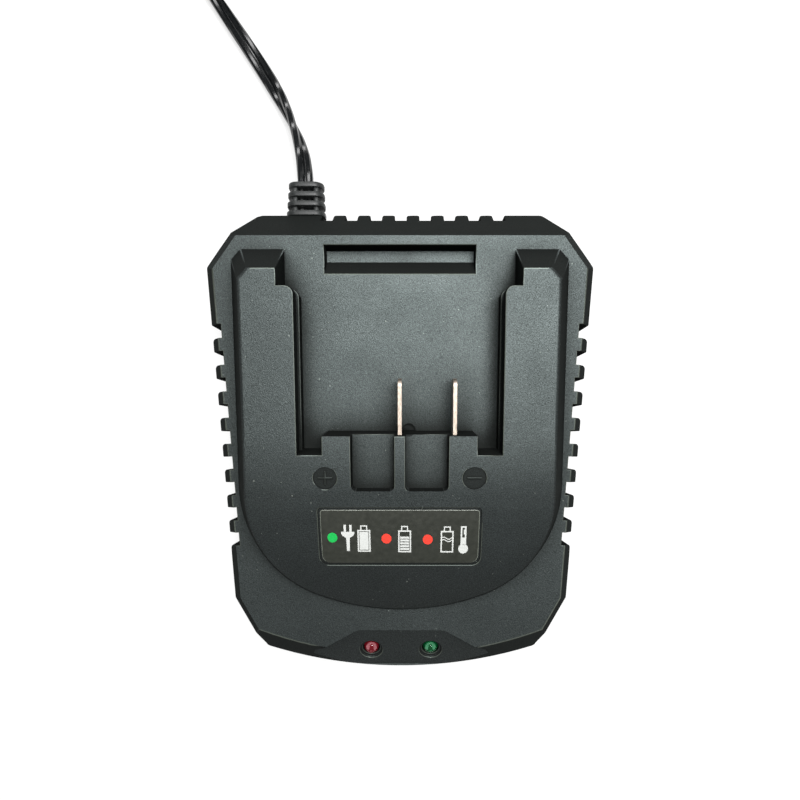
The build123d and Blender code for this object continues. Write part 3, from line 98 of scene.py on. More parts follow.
def add(tree, kind, props=(), values=(), links=()):
    """New node of a kind, with its properties and input values set and its inputs linked."""
    made = tree.nodes.new(kind)
    for name, value in dict(props).items():
        setattr(made, name, value)
    for name, value in dict(values).items():
        made.inputs[name].default_value = value
    for name, source in dict(links).items():
        tree.links.new(source, made.inputs[name])
    return made


def blank(name):
    """New material with an empty node tree and its output node."""
    material = bpy.data.materials.new(name)
    material.use_nodes = True
    material.node_tree.nodes.clear()
    return material, material.node_tree, material.node_tree.nodes.new("ShaderNodeOutputMaterial")


TABLE_SIZE = 3.0  # m
TABLE_COLOUR = "#f4f4f2"
TABLE_GLOW = 0.7  # part of the plain white that the eye sees on the table

table_mesh = bpy.data.meshes.new("table")
edge = TABLE_SIZE / 2
table_corners = [(-edge, -edge, 0), (edge, -edge, 0), (edge, edge, 0), (-edge, edge, 0)]
table_mesh.from_pydata(table_corners, [], [(0, 1, 2, 3)])
table = bpy.data.objects.new("table", table_mesh)
bpy.context.scene.collection.objects.link(table)
table_finish, tree, output = blank("table_finish")
matt = add(tree, "ShaderNodeBsdfDiffuse", values={"Color": linear(TABLE_COLOUR)})
glow = add(tree, "ShaderNodeEmission", values={"Color": linear("#ffffff"), "Strength": 1.0})
rays = add(tree, "ShaderNodeLightPath")
seen = rays.outputs["Is Camera Ray"]
for kind in ("Is Glossy Ray", "Is Transmission Ray"):
    either = add(tree, "ShaderNodeMath", {"operation": "MAXIMUM"}, links={0: seen, 1: rays.outputs[kind]})
    seen = either.outputs[0]
share = add(tree, "ShaderNodeMath", {"operation": "MULTIPLY"}, {1: TABLE_GLOW}, {0: seen})
both = add(tree, "ShaderNodeMixShader", links={0: share.outputs[0], 1: matt.outputs[0], 2: glow.outputs[0]})
tree.links.new(both.outputs[0], output.inputs["Surface"])
table_mesh.materials.append(table_finish)

# name, place, width and height in metres, and power in watts of each lamp, which aims at the origin
STUDIO_LAMPS = (
    ("lamp_over", (0.09, 0.11, 0.70), 0.35, 0.35, 7.7),
    ("lamp_behind", (-0.15, 0.72, 0.60), 0.14, 0.95, 2.2),
)
for name, place, width, height, power in STUDIO_LAMPS:
    light = bpy.data.lights.new(name, "AREA")
    light.shape = "ELLIPSE"
    light.size = width
    light.size_y = height
    light.energy = power
    lamp = bpy.data.objects.new(name, light)
    lamp.location = place
    lamp.rotation_mode = "QUATERNION"
    lamp.rotation_quaternion = (-Vector(place)).to_track_quat("-Z", "Y")
    bpy.context.scene.collection.objects.link(lamp)

SURROUND_COLOUR = "#e8ecf0"
SURROUND_STRENGTH = 0.14
world = bpy.data.worlds.new("surround")
world.use_nodes = True
world.node_tree.nodes.clear()
sky_values = {"Color": linear(SURROUND_COLOUR), "Strength": SURROUND_STRENGTH}
sky = add(world.node_tree, "ShaderNodeBackground", values=sky_values)
add(world.node_tree, "ShaderNodeOutputWorld", links={"Surface": sky.outputs[0]})
bpy.context.scene.world = world


# ---------------------------------------------------------------- housing
# Cover and tray of the charger: ABS, injection moulded in a spark-eroded mould that leaves a fine
# grain, screwed together from below. Every outer edge has the small radius of the mould's cutter.
EDGE_ROUND = 0.3 * MM
SHARP_TURN = math.radians(28)  # edges that turn outwards by more than this are rounded
BENT_TURN = math.radians(6)  # faces that turn less from each other shade as one surface
FLAT_TURN = math.radians(0.3)  # faces that turn less from each other are joined into one
COVER_WELD = 0.06 * MM  # corners nearer than this are joined
TRAY_WELD = 0.03 * MM
PARTING = 15.0 * MM  # height of the joint between cover and tray, whose edges stay sharp
PARTING_REACH = 0.6 * MM  # edges this near the joint belong to it
PALE_RIM_UPWARD = 0.75  # rims whose normal rises less than this keep the plain finish; the rest are painted paler, partly wear and partly painted highlight
GRAIN = 0.32  # mm; the real grain of 0.1 mm is too fine to show, so it is drawn coarser
GRAIN_HEIGHT = 0.08  # mm
CLOUD = 18  # mm across each patch of slightly other gloss
SMOOTHER_BY = 0.04  # roughness by which a patch is smoother at most
ROUGHER_BY = 0.05
SPECK_COLOUR = "#9aa097"
# spacing in mm, size as a part of the spacing, and share of the full amount of each kind of dust speck
SPECKS = ((2.2, 0.08, 0.5), (5.5, 0.05, 1.0))
SPECK_COVER = 0.75  # part of the plastic's colour that the middle of a speck hides
# dark diffuse colour of the painted shade on steep faces and in hollows
PAINTED_SHADE_COLOUR = "#1f2120"
STEEP_GLOSS = 0.06  # share of the gloss that steep faces keep; the rest is painted shade
STEEP_UPWARD = 0.72  # a normal that rises no more than this is steep
LEVEL_UPWARD = 0.93  # and one that rises this much is level
HOLLOW = 11 * MM  # reach over which walls put painted shade on the surface beside them
HOLLOW_OPEN = 0.42  # a surface no more open than this has no gloss and is all painted shade
FULLY_OPEN = 0.95
# discs of the two signs and the drain under the blades, whose sunk faces get painted shade: place and radius
# in mm
SUNK_SPOTS = ((-22.0, -10.35, 3.4), (22.0, -10.35, 3.4), (2.6, 3.8, 1.95))
# share of the gloss that the sunk faces keep; the rest is painted shade
SUNK_GLOSS = 0.2
SPOT_BLEND = 0.05  # mm over which the gloss comes back
# the latch slot in the deck, between its ends and from its ramp's start to its back
SLOT_HALF_WIDTH = 22.8 * MM
SLOT_MIDDLE = 55.3 * MM
SLOT_HALF_DEPTH = 4.2 * MM
# a noise lies mostly between these, so they are spread over a material's whole range
NOISE_SPAN = {"From Min": 0.3, "From Max": 0.7}


def merged(node, weld):
    """BMesh of a CAD node with its vertices joined and its flat faces whole, and a tree of its skin."""
    shell = bmesh.new()
    shell.from_mesh(nodes[node].data)
    bmesh.ops.remove_doubles(shell, verts=shell.verts, dist=MM / 1000)
    skin = BVHTree.FromBMesh(shell)
    bmesh.ops.remove_doubles(shell, verts=shell.verts, dist=weld)
    bmesh.ops.dissolve_limit(shell, angle_limit=FLAT_TURN, verts=shell.verts, edges=shell.edges)
    shell.normal_update()
    return shell, skin


def spoilt_spots(mesh, skin):
    """Corners of the faces that a rounding has folded over or pulled away from the skin."""
    least_area = 0.004 * MM * MM
    off_skin = 0.18 * MM
    folded_over = -0.1  # cosine of the turn from the skin
    spots = []
    mesh.calc_loop_triangles()
    for face in mesh.loop_triangles:
        corners = [mesh.vertices[index].co for index in face.vertices]
        middle = (corners[0] + corners[1] + corners[2]) / 3
        place, normal, index, distance = skin.find_nearest(middle)
        folded = normal.dot(face.normal) < folded_over
        if face.area > least_area and (distance > off_skin or folded):
            spots += [middle, *corners]
    return spots


def level_normals(mesh):
    """Normals by which wide surfaces shade evenly and the narrow faces run between them."""
    wide_area = 9 * MM * MM
    shell = bmesh.new()
    shell.from_mesh(mesh)
    surface = {}
    own = {}
    for start in shell.faces:
        if start in surface:
            continue
        surface[start] = start
        waiting = [start]
        area = 0.0
        pulls = {}
        while waiting:
            face = waiting.pop()
            area += face.calc_area()
            for vert in face.verts:
                pulls[vert] = pulls.get(vert, Vector()) + face.normal * face.calc_area()
            for edge in face.edges:
                for other in edge.link_faces:
                    if other not in surface and face.normal.angle(other.normal, math.pi) < BENT_TURN:
                        surface[other] = start
                        waiting.append(other)
        if area > wide_area:
            own[start] = pulls
    normals = []
    for face in shell.faces:
        for vert in face.verts:
            beside = [surface[other] for other in vert.link_faces]
            wide = [own[start][vert].normalized() for start in beside if start in own]
            if surface[face] in own:
                normal = own[surface[face]][vert]
            elif wide:
                normal = sum(wide, Vector())
            else:
                normal = sum((other.normal * other.calc_area() for other in vert.link_faces), Vector())
            normals.append(normal.normalized() if normal.length > 0 else face.normal)
    shell.free()
    mesh.normals_split_custom_set([tuple(normal) for normal in normals])


def soft_edged(node, radius, weld, sharp_at):
    """Copy of a CAD node with rounded outer edges, whose up-facing rims wear the second material, painted
    paler as a highlight.
    """
    shell, skin = merged(node, weld)
    weight = shell.edges.layers.float.new("bevel_weight_edge")
    for edge in shell.edges:
        middle = (edge.verts[0].co + edge.verts[1].co) / 2
        turned = edge.is_manifold and edge.calc_face_angle_signed() > SHARP_TURN
        edge[weight] = float(turned and not sharp_at(middle))
    mesh = bpy.data.meshes.new(node + "_plan")
    piece = bpy.data.objects.new(node + "_shell", mesh)
    bpy.context.scene.collection.objects.link(piece)
    rounding = piece.modifiers.new("rounding", "BEVEL")
    rounding.width = radius
    rounding.segments = 2
    rounding.limit_method = "WEIGHT"
    rounding.use_clamp_overlap = False
    rounding.miter_outer = "MITER_ARC"
    rounding.material = 1
    reach = 0.8 * MM
    tries = 6
    # where a rounding doesn't fit, the edges near by stay sharp
    for attempt in range(tries):
        shell.to_mesh(mesh)
        mesh.shade_smooth()
        mesh.materials.clear()
        mesh.materials.append(None)
        mesh.materials.append(None)
        piece.update_tag()
        bpy.context.view_layer.update()
        graph = bpy.context.evaluated_depsgraph_get()
        plain = bpy.data.meshes.new_from_object(piece.evaluated_get(graph))
        spots = spoilt_spots(plain, skin)
        if not spots:
            break
        near = KDTree(len(spots))
        for index, spot in enumerate(spots):
            near.insert(spot, index)
        near.balance()
        for edge in shell.edges:
            if min(near.find(vert.co)[2] for vert in edge.verts) < reach:
                edge[weight] = 0.0
    piece.modifiers.clear()
    # only the rims that face up get the paler second material, a painted highlight that on the housing also
    # stands for wear
    for face in plain.polygons:
        if face.normal.z < PALE_RIM_UPWARD:
            face.material_index = 0
    level_normals(plain)
    piece.data = plain
    plain.name = piece.name
    bpy.data.meshes.remove(mesh)
    shell.free()
    return piece


def wear(piece, *materials):
    """Gives a piece these materials in place of what it has."""
    slots = piece.data.materials
    for index, material in enumerate(materials):
        if index < len(slots):
            slots[index] = material
        else:
            slots.append(material)


def moulding(name, tones, dust, relief, roughness, contrast):
    """Grained black ABS with specks of dust, and painted shade on steep faces and in hollows."""
    material, tree, output = blank(name)
    place = add(tree, "ShaderNodeTexCoord").outputs["Object"]
    grain = add(tree, "ShaderNodeTexNoise", values={
        "Scale": 1 / (GRAIN * MM), "Detail": 2.0, "Roughness": 0.7}, links={"Vector": place}).outputs["Fac"]
    cloud = add(tree, "ShaderNodeTexNoise", values={"Scale": 1 / (CLOUD * MM), "Detail": 3.0},
                links={"Vector": place}).outputs["Fac"]
    tone = add(tree, "ShaderNodeMapRange", values=NOISE_SPAN, links={"Value": grain}).outputs[0]
    colour = add(tree, "ShaderNodeMix", {"data_type": "RGBA"}, {"A": linear(tones[0]), "B": linear(tones[1])},
                 {"Factor": tone}).outputs["Result"]
    # specks are the middles of a few cells, of two sizes
    for spacing, size, share in SPECKS:
        cells = add(tree, "ShaderNodeTexVoronoi", values={"Scale": 1 / (spacing * MM), "Randomness": 1.0},
                    links={"Vector": place})
        chance = add(tree, "ShaderNodeSeparateColor", links={"Color": cells.outputs["Color"]}).outputs["Red"]
        chosen = add(tree, "ShaderNodeMath", {"operation": "LESS_THAN"}, {1: share * dust}, {0: chance})
        speck = add(tree, "ShaderNodeMapRange", values={
            "From Min": size / 2, "From Max": size, "To Min": SPECK_COVER, "To Max": 0.0},
            links={"Value": cells.outputs["Distance"]})
        both = add(tree, "ShaderNodeMath", {"operation": "MULTIPLY"}, links={
            0: speck.outputs[0], 1: chosen.outputs[0]}).outputs[0]
        colour = add(tree, "ShaderNodeMix", {"data_type": "RGBA"}, {"B": linear(SPECK_COLOUR)},
                     {"Factor": both, "A": colour}).outputs["Result"]
    bump = add(tree, "ShaderNodeBump", values={"Strength": relief, "Distance": GRAIN_HEIGHT * MM},
               links={"Height": grain})
    rough = add(tree, "ShaderNodeMapRange", values={
        **NOISE_SPAN, "To Min": roughness - SMOOTHER_BY, "To Max": roughness + ROUGHER_BY},
        links={"Value": cloud})
    sheen = add(tree, "ShaderNodeBsdfPrincipled", values={
        "IOR": 1.53, "Specular IOR Level": 1.0, "Specular Tint": linear("#eefffd")}, links={
        "Base Color": colour, "Roughness": rough.outputs[0], "Normal": bump.outputs[0]})
    # painted shade: a dark diffuse that takes the sheen's place on steep faces and in hollows
    painted_shade = add(tree, "ShaderNodeBsdfDiffuse", values={"Color": linear(PAINTED_SHADE_COLOUR)},
               links={"Normal": bump.outputs[0]})
    # steep faces and hollows get painted shade, more of the dark diffuse than the open ones, and each grain
    # differs
    normal = add(tree, "ShaderNodeNewGeometry").outputs["Normal"]
    upward = add(tree, "ShaderNodeSeparateXYZ", links={"Vector": normal}).outputs["Z"]
    level = add(tree, "ShaderNodeMapRange", values={
        "From Min": STEEP_UPWARD, "From Max": LEVEL_UPWARD, "To Min": STEEP_GLOSS, "To Max": 1.0},
        links={"Value": upward})
    occlusion = add(tree, "ShaderNodeAmbientOcclusion", {"samples": 8}, {"Distance": HOLLOW})
    unwalled = add(tree, "ShaderNodeMapRange", values={"From Min": HOLLOW_OPEN, "From Max": FULLY_OPEN},
                   links={"Value": occlusion.outputs["AO"]})
    # the floor of the latch slot is left out of the painted shade and keeps the gloss of the deck
    flat_place = add(tree, "ShaderNodeVectorMath", {"operation": "MULTIPLY"}, {1: (1, 1, 0)},
                     {0: place}).outputs[0]
    axes = add(tree, "ShaderNodeSeparateXYZ", links={"Vector": flat_place}).outputs
    across = add(tree, "ShaderNodeMath", {"operation": "COMPARE"}, {1: 0.0, 2: SLOT_HALF_WIDTH},
                 {0: axes["X"]})
    along = add(tree, "ShaderNodeMath", {"operation": "COMPARE"}, {1: SLOT_MIDDLE, 2: SLOT_HALF_DEPTH},
                {0: axes["Y"]})
    in_slot = add(tree, "ShaderNodeMath", {"operation": "MULTIPLY"}, links={
        0: across.outputs[0], 1: along.outputs[0]})
    glossy = add(tree, "ShaderNodeMath", {"operation": "MAXIMUM"}, links={
        0: in_slot.outputs[0], 1: unwalled.outputs[0]})
    sheen_share = add(tree, "ShaderNodeMath", {"operation": "MULTIPLY"}, links={
        0: level.outputs[0], 1: glossy.outputs[0]}).outputs[0]
    differing = add(tree, "ShaderNodeMapRange", values={**NOISE_SPAN, "To Min": 1 - contrast, "To Max": 1.0},
                    links={"Value": grain})
    sheen_share = add(tree, "ShaderNodeMath", {"operation": "MULTIPLY"}, links={
        0: sheen_share, 1: differing.outputs[0]}).outputs[0]
    # painted shade in the sunk discs of the signs and the drain, fading out at their rims
    for x, y, radius in SUNK_SPOTS:
        away = add(tree, "ShaderNodeVectorMath", {"operation": "DISTANCE"}, {1: (x * MM, y * MM, 0)},
                   {0: flat_place}).outputs["Value"]
        outside = add(tree, "ShaderNodeMapRange", values={
            "From Min": radius * MM - SPOT_BLEND * MM, "From Max": radius * MM,
            "To Min": SUNK_GLOSS, "To Max": 1.0}, links={"Value": away})
        sheen_share = add(tree, "ShaderNodeMath", {"operation": "MULTIPLY"}, links={
            0: sheen_share, 1: outside.outputs[0]}).outputs[0]
    # the sheen, with the painted shade mixed in wherever the sheen's share falls
    surface = add(tree, "ShaderNodeMixShader", links={0: sheen_share, 1: painted_shade.outputs[0], 2: sheen.outputs[0]})
    tree.links.new(surface.outputs[0], output.inputs["Surface"])
    return material


# black ABS: nearly black in itself, with the broad grey sheen of its grain
grained_abs = moulding("grained_abs", ("#090a0b", "#1a1c1c"), 0.5, 0.9, 0.48, 0.72)
# the rounded edges come out of the mould smoother; where they face up they are painted paler, partly wear and
# partly painted highlight
worn_and_highlit_edge_abs = moulding("worn_and_highlit_edge_abs", ("#41443d", "#52574d"), 0.0, 0.15, 0.45, 0.2)
cover = soft_edged("upper_housing", EDGE_ROUND, COVER_WELD, lambda place: place.z < PARTING + PARTING_REACH)
tray = soft_edged("lower_housing", EDGE_ROUND, TRAY_WELD, lambda place: place.z > PARTING - PARTING_REACH)
for shell, node in ((cover, "upper_housing"), (tray, "lower_housing")):
    wear(shell, grained_abs, worn_and_highlit_edge_abs)
    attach(shell, "root")
    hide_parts(node)


# ---------------------------------------------------------------- mains lead
# Flat two-core lead in a glossy black PVC sheath, extruded. It drops from the back wall to the table,
# turns over once on the way and lies coiled behind, standing on its narrow side.
LEAD_WIDTH = 5.3 * MM
LEAD_THICKNESS = 2.7 * MM
LEAD_FALL = ((-31.7, 74.0, 15.0), (-31.9, 86.7, 15.0), (-33.2, 97.5, 13.0), (-36.5, 108.0, 8.6),
             (-42.1, 120.5, 4.2), (-51.1, 135.5, 2.9), (-62.0, 151.5, 3.0))  # mm
LEAD_TAIL = ((-14.5, 215.3, 17.0), (-3.5, 207.6, 10.5), (6.5, 201.4, 6.5), (17.0, 196.0, 6.5))  # mm
COIL_CENTRE = (-61.5, 204.0)  # mm
COIL_OUTER = 33.05  # mm, radius of the outer turns
COIL_INNER = 27.75
COIL_LOW = 3.7  # mm, middle of the lowest turns
COIL_LAYER = 5.3
COIL_START = math.radians(222.85)  # where the lead runs onto the coil, turning clockwise
COIL_END = math.radians(60.0)
COIL_WHOLE_TURNS = 8  # besides the part of a turn from start to end
COIL_STUB = 20.0  # mm of straight lead on each side of the coil
COIL_POINTS = 14  # for each turn
COIL_PLACES = ((COIL_OUTER, 0), (COIL_INNER, 0), (COIL_INNER, 1), (COIL_OUTER, 1),
               (COIL_OUTER, 2), (COIL_INNER, 2), (COIL_INNER, 3), (COIL_OUTER, 3))  # radius and layer
COIL_CHANGE = 0.3  # of each place's run, in which the lead moves to the next place
# how far the lead is turned about its own line, in degrees, at lengths from its start in mm
LEAD_TURNS = ((0.0, 0.0), (15.0, 4.0), (34.0, 72.0), (58.0, 168.0), (78.0, 196.0), (125.0, 270.0))


def coil_place(share):
    """Radius and height of the coiled lead after a share of its turns, in millimetres."""
    run = share * len(COIL_PLACES)
    index = int(run)
    radius, layer = COIL_PLACES[index]
    next_radius, next_layer = COIL_PLACES[min(index + 1, len(COIL_PLACES) - 1)]
    moved = max(0.0, (run - index - 1 + COIL_CHANGE) / COIL_CHANGE)
    moved = moved * moved * (3 - 2 * moved)
    height = COIL_LOW + (layer + (next_layer - layer) * moved) * COIL_LAYER
    return (radius + (next_radius - radius) * moved, height)


def beside_coil(angle, along, height):
    """Point on the straight that touches the outer turn at an angle, so far along it."""
    x = COIL_CENTRE[0] + COIL_OUTER * math.cos(angle) + along * math.sin(angle)
    y = COIL_CENTRE[1] + COIL_OUTER * math.sin(angle) - along * math.cos(angle)
    return (x, y, height)


coil_turns = (COIL_START - COIL_END) / math.tau + COIL_WHOLE_TURNS
steps = round(coil_turns * COIL_POINTS)
step = coil_turns * math.tau / steps
route = [*LEAD_FALL, beside_coil(COIL_START, -COIL_STUB, COIL_LOW)]
for index in range(steps):
    radius, height = coil_place((index + 0.5) / steps)
    angle = COIL_START - (index + 0.5) * step
    reach = radius / math.cos(step / 2)
    x = COIL_CENTRE[0] + reach * math.cos(angle)
    y = COIL_CENTRE[1] + reach * math.sin(angle)
    route.append((x, y, height))
coil_top = COIL_LOW + COIL_PLACES[-1][1] * COIL_LAYER
route += [beside_coil(COIL_END, COIL_STUB, coil_top), *LEAD_TAIL]


def spline_points(name, places, detail):
    """Points along the smooth NURBS line that has these places, in millimetres, as its control points."""
    line = bpy.data.curves.new(name, "CURVE")
    line.dimensions = "3D"
    line.resolution_u = detail
    spline = line.splines.new("NURBS")
    spline.points.add(len(places) - 1)
    for point, place in zip(spline.points, places):
        point.co = (place[0] * MM, place[1] * MM, place[2] * MM, 1.0)
    spline.order_u = 3
    spline.use_endpoint_u = True
    holder = bpy.data.objects.new(name, line)
    bpy.context.scene.collection.objects.link(holder)
    bpy.context.view_layer.update()
    graph = bpy.context.evaluated_depsgraph_get()
    mesh = bpy.data.meshes.new_from_object(holder.evaluated_get(graph))
    points = [vert.co.copy() for vert in mesh.vertices]
    bpy.data.objects.remove(holder)
    bpy.data.meshes.remove(mesh)
    return points


def from_table(table, value):
    """Value from a table of (place, value) pairs, running evenly from each to the next."""
    for (low, first), (high, second) in zip(table, table[1:]):
        if value < high:
            share = max(0.0, (value - low) / (high - low))
            return first + (second - first) * share
    return table[-1][1]


def placed(name, shape, smooth=True):
    """Object made from a BMesh, with its faces turned outwards."""
    bmesh.ops.recalc_face_normals(shape, faces=shape.faces)
    mesh = bpy.data.meshes.new(name)
    shape.to_mesh(mesh)
    shape.free()
    if smooth:
        mesh.shade_smooth()
        mesh.set_sharp_from_angle(angle=SHARP_TURN)
    piece = bpy.data.objects.new(name, mesh)
    bpy.context.scene.collection.objects.link(piece)
    return piece


def skin_over(shape, loops):
    """Closed skin through a row of loops of points, with a flat face over each end."""
    rows = [[shape.verts.new(point) for point in loop] for loop in loops]
    for low, high in zip(rows, rows[1:]):
        for index in range(len(low)):
            after = (index + 1) % len(low)
            shape.faces.new((low[index], low[after], high[after], high[index]))
    shape.faces.new(rows[0][::-1])
    shape.faces.new(rows[-1])


def twin_section():
    """Outline of two round cores side by side, as (across, up) from the middle."""
    radius = LEAD_THICKNESS / 2
    offset = LEAD_WIDTH / 2 - radius
    arc = math.radians(150)  # on each side of the middle of a core's outer side
    count = 9
    section = []
    for side in (1, -1):
        for index in range(count):
            angle = -arc + 2 * arc * index / (count - 1)
            section.append((side * (offset + radius * math.cos(angle)), side * radius * math.sin(angle)))
    return section


LEAD_DETAIL = 8  # steps of the smooth line from each point of the route to the next
lead_line = spline_points("lead_route", route, LEAD_DETAIL)
section = twin_section()
lead_shape = bmesh.new()
lead_loops = []
run = 0.0
for index, point in enumerate(lead_line):
    before = lead_line[max(index - 1, 0)]
    after = lead_line[min(index + 1, len(lead_line) - 1)]
    run += (point - before).length
    ahead = (after - before).normalized()
    level = Vector((-ahead.y, ahead.x, 0)).normalized()
    upright = ahead.cross(level)
    turn = math.radians(from_table(LEAD_TURNS, run / MM))
    across = level * math.cos(turn) + upright * math.sin(turn)
    up = ahead.cross(across)
    lead_loops.append([point + across * x + up * y for x, y in section])
skin_over(lead_shape, lead_loops)
lead = placed("mains_lead", lead_shape)
ROUGHNESS_SPREAD = 0.12  # part by which a finish's roughness differs each way
UNEVENNESS = 0.05  # mm, height of a finish's relief at full strength


def finish(name, tones, grain, roughness, relief, stretch=(1, 1, 1), **values):
    """Material whose colour, roughness and surface follow one noise of a grain size in millimetres."""
    material, tree, output = blank(name)
    place = add(tree, "ShaderNodeTexCoord").outputs["Object"]
    place = add(tree, "ShaderNodeMapping", values={"Scale": stretch}, links={"Vector": place}).outputs[0]
    noise = add(tree, "ShaderNodeTexNoise", values={"Scale": 1 / (grain * MM), "Detail": 3.0},
                links={"Vector": place}).outputs["Fac"]
    bump = add(tree, "ShaderNodeBump", values={"Strength": relief, "Distance": UNEVENNESS * MM},
               links={"Height": noise})
    tone = add(tree, "ShaderNodeMapRange", values=NOISE_SPAN, links={"Value": noise}).outputs[0]
    colour = add(tree, "ShaderNodeMix", {"data_type": "RGBA"}, {"A": linear(tones[0]), "B": linear(tones[1])},
                 {"Factor": tone})
    smoothest = roughness * (1 - ROUGHNESS_SPREAD)
    roughest = roughness * (1 + ROUGHNESS_SPREAD)
    rough = add(tree, "ShaderNodeMapRange", values={**NOISE_SPAN, "To Min": smoothest, "To Max": roughest},
                links={"Value": noise})
    named = {key.replace("_", " "): value for key, value in values.items()}
    surface = add(tree, "ShaderNodeBsdfPrincipled", values=named, links={
        "Base Color": colour.outputs["Result"], "Roughness": rough.outputs[0], "Normal": bump.outputs[0]})
    tree.links.new(surface.outputs[0], output.inputs["Surface"])
    return material


# glossy PVC: black with narrow bright lights, and hardly any grain
sheath_pvc = finish("sheath_pvc", ("#08090a", "#101213"), 1.2, 0.2, 0.1, IOR=1.54, Specular_IOR_Level=0.7)
wear(lead, sheath_pvc)
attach(lead, "root")
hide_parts("power_cord", "cord_coil", "cord_tail")


# ---------------------------------------------------------------- strain relief
# Soft PVC sleeve moulded around the lead where it leaves the back wall: four flat rings with a bar on
# each side between them, so that it bends, and a flange inside the wall that holds it.
# sizes in mm
RELIEF_X = -31.7
RELIEF_HEIGHT = 15.0
RELIEF_WALL = 75.1  # outer face of the back wall
RELIEF_RINGS = 4
RELIEF_PITCH = 3.2
RING_THICKNESS = 1.7
RING_WIDTH = 12.9  # of the ring at the wall
RING_HEIGHT = 8.8
RING_TAPER = 0.35  # each further ring is smaller by this much
RING_CORNER = 3.2
RING_EDGE = 0.35
BAR_INNER = 2.6  # from the middle
BAR_OUTER = 4.4
BAR_HEIGHT = 5.6
BAR_CORNER = 0.6
BAR_START = 1.0  # behind the face of its ring
BAR_SINK = 0.5  # into the next ring
CORE_START = 64.6
CORE_SINK = 0.9  # into the ring at the wall
CORE_WIDTH = 8.0
CORE_HEIGHT = 6.4
CORE_CORNER = 1.5
FINE_EDGE = 0.2  # of the bars and the core
RIM_MIDDLE = 0.3  # a round rim's middle lies this part of its radius in from each side
FLANGE_START = 65.2
FLANGE_END = 67.1
FLANGE_WIDTH = 11.8
FLANGE_HEIGHT = 9.6
FLANGE_CORNER = 1.6
FLANGE_EDGE = 0.3


def round_rectangle(width, height, corner, count=5):
    """Outline of a rectangle with round corners, as (across, up) from the middle."""
    over_two = 2.001  # so that a corner never takes quite half of a side
    corner = min(corner, width / over_two, height / over_two)
    outline = []
    for quarter, (x, y) in enumerate(((1, 1), (-1, 1), (-1, -1), (1, -1))):
        for index in range(count):
            angle = math.pi / 2 * (quarter + index / (count - 1))
            outline.append((x * (width / 2 - corner) + corner * math.cos(angle),
                            y * (height / 2 - corner) + corner * math.sin(angle)))
    return outline


def slab(shape, frame, start, end, width, height, corner, soft, middle=(0, 0)):
    """Block with round corners and soft rims, from start to end along the frame's Z."""
    least_corner = 0.35 * soft
    loops = []
    inset = RIM_MIDDLE * soft
    for along, narrower in ((start, 2 * soft), (start + inset, 2 * inset), (start + soft, 0),
                            (end - soft, 0), (end - inset, 2 * inset), (end, 2 * soft)):
        rim_corner = max(corner - narrower / 2, least_corner)
        outline = round_rectangle(width - narrower, height - narrower, rim_corner)
        loops.append([frame @ Vector((x + middle[0], y + middle[1], along)) * MM for x, y in outline])
    skin_over(shape, loops)


def frame_at(place, across, up):
    """Matrix from a piece's own across, up and along to the charger's millimetres."""
    across = Vector(across).normalized()
    up = Vector(up).normalized()
    along = across.cross(up)
    matrix = Matrix((across, up, along)).transposed().to_4x4()
    matrix.translation = Vector(place)
    return matrix


relief_frame = frame_at((RELIEF_X, 0, RELIEF_HEIGHT), (-1, 0, 0), (0, 0, 1))
relief_shape = bmesh.new()
for ring in range(RELIEF_RINGS):
    begin = RELIEF_WALL + ring * RELIEF_PITCH
    smaller = ring * RING_TAPER
    slab(relief_shape, relief_frame, begin, begin + RING_THICKNESS, RING_WIDTH - smaller,
         RING_HEIGHT - smaller, RING_CORNER, RING_EDGE)
    if ring < RELIEF_RINGS - 1:
        for side in (1, -1):
            middle = side * (BAR_INNER + BAR_OUTER) / 2
            slab(relief_shape, relief_frame, begin + BAR_START, begin + RELIEF_PITCH + BAR_SINK,
                 BAR_OUTER - BAR_INNER, BAR_HEIGHT, BAR_CORNER, FINE_EDGE, (middle, 0))
slab(relief_shape, relief_frame, CORE_START, RELIEF_WALL + CORE_SINK, CORE_WIDTH, CORE_HEIGHT, CORE_CORNER,
     FINE_EDGE)
slab(relief_shape, relief_frame, FLANGE_START, FLANGE_END, FLANGE_WIDTH, FLANGE_HEIGHT, FLANGE_CORNER,
     FLANGE_EDGE)
strain_relief = placed("relief_sleeve", relief_shape)
# soft PVC: dark grey and matt, with a faint unevenness
relief_pvc = finish("relief_pvc", ("#1d1f1f", "#2a2d2c"), 0.7, 0.5, 0.35, IOR=1.5)
wear(strain_relief, relief_pvc)
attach(strain_relief, "root")
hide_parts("strain_relief")


# ---------------------------------------------------------------- plug and tie
# Plug moulded onto the lead's end in the same PVC, with three grip ribs on each side and two brass
# prongs, and the nylon tie that holds the coil.
PLUG_PLACE = Vector(LEAD_TAIL[-1])
PLUG_AHEAD = (PLUG_PLACE - Vector(LEAD_TAIL[-2])).normalized()
PLUG_CORNER = 3.6  # mm
PLUG_CORNER_POINTS = 7
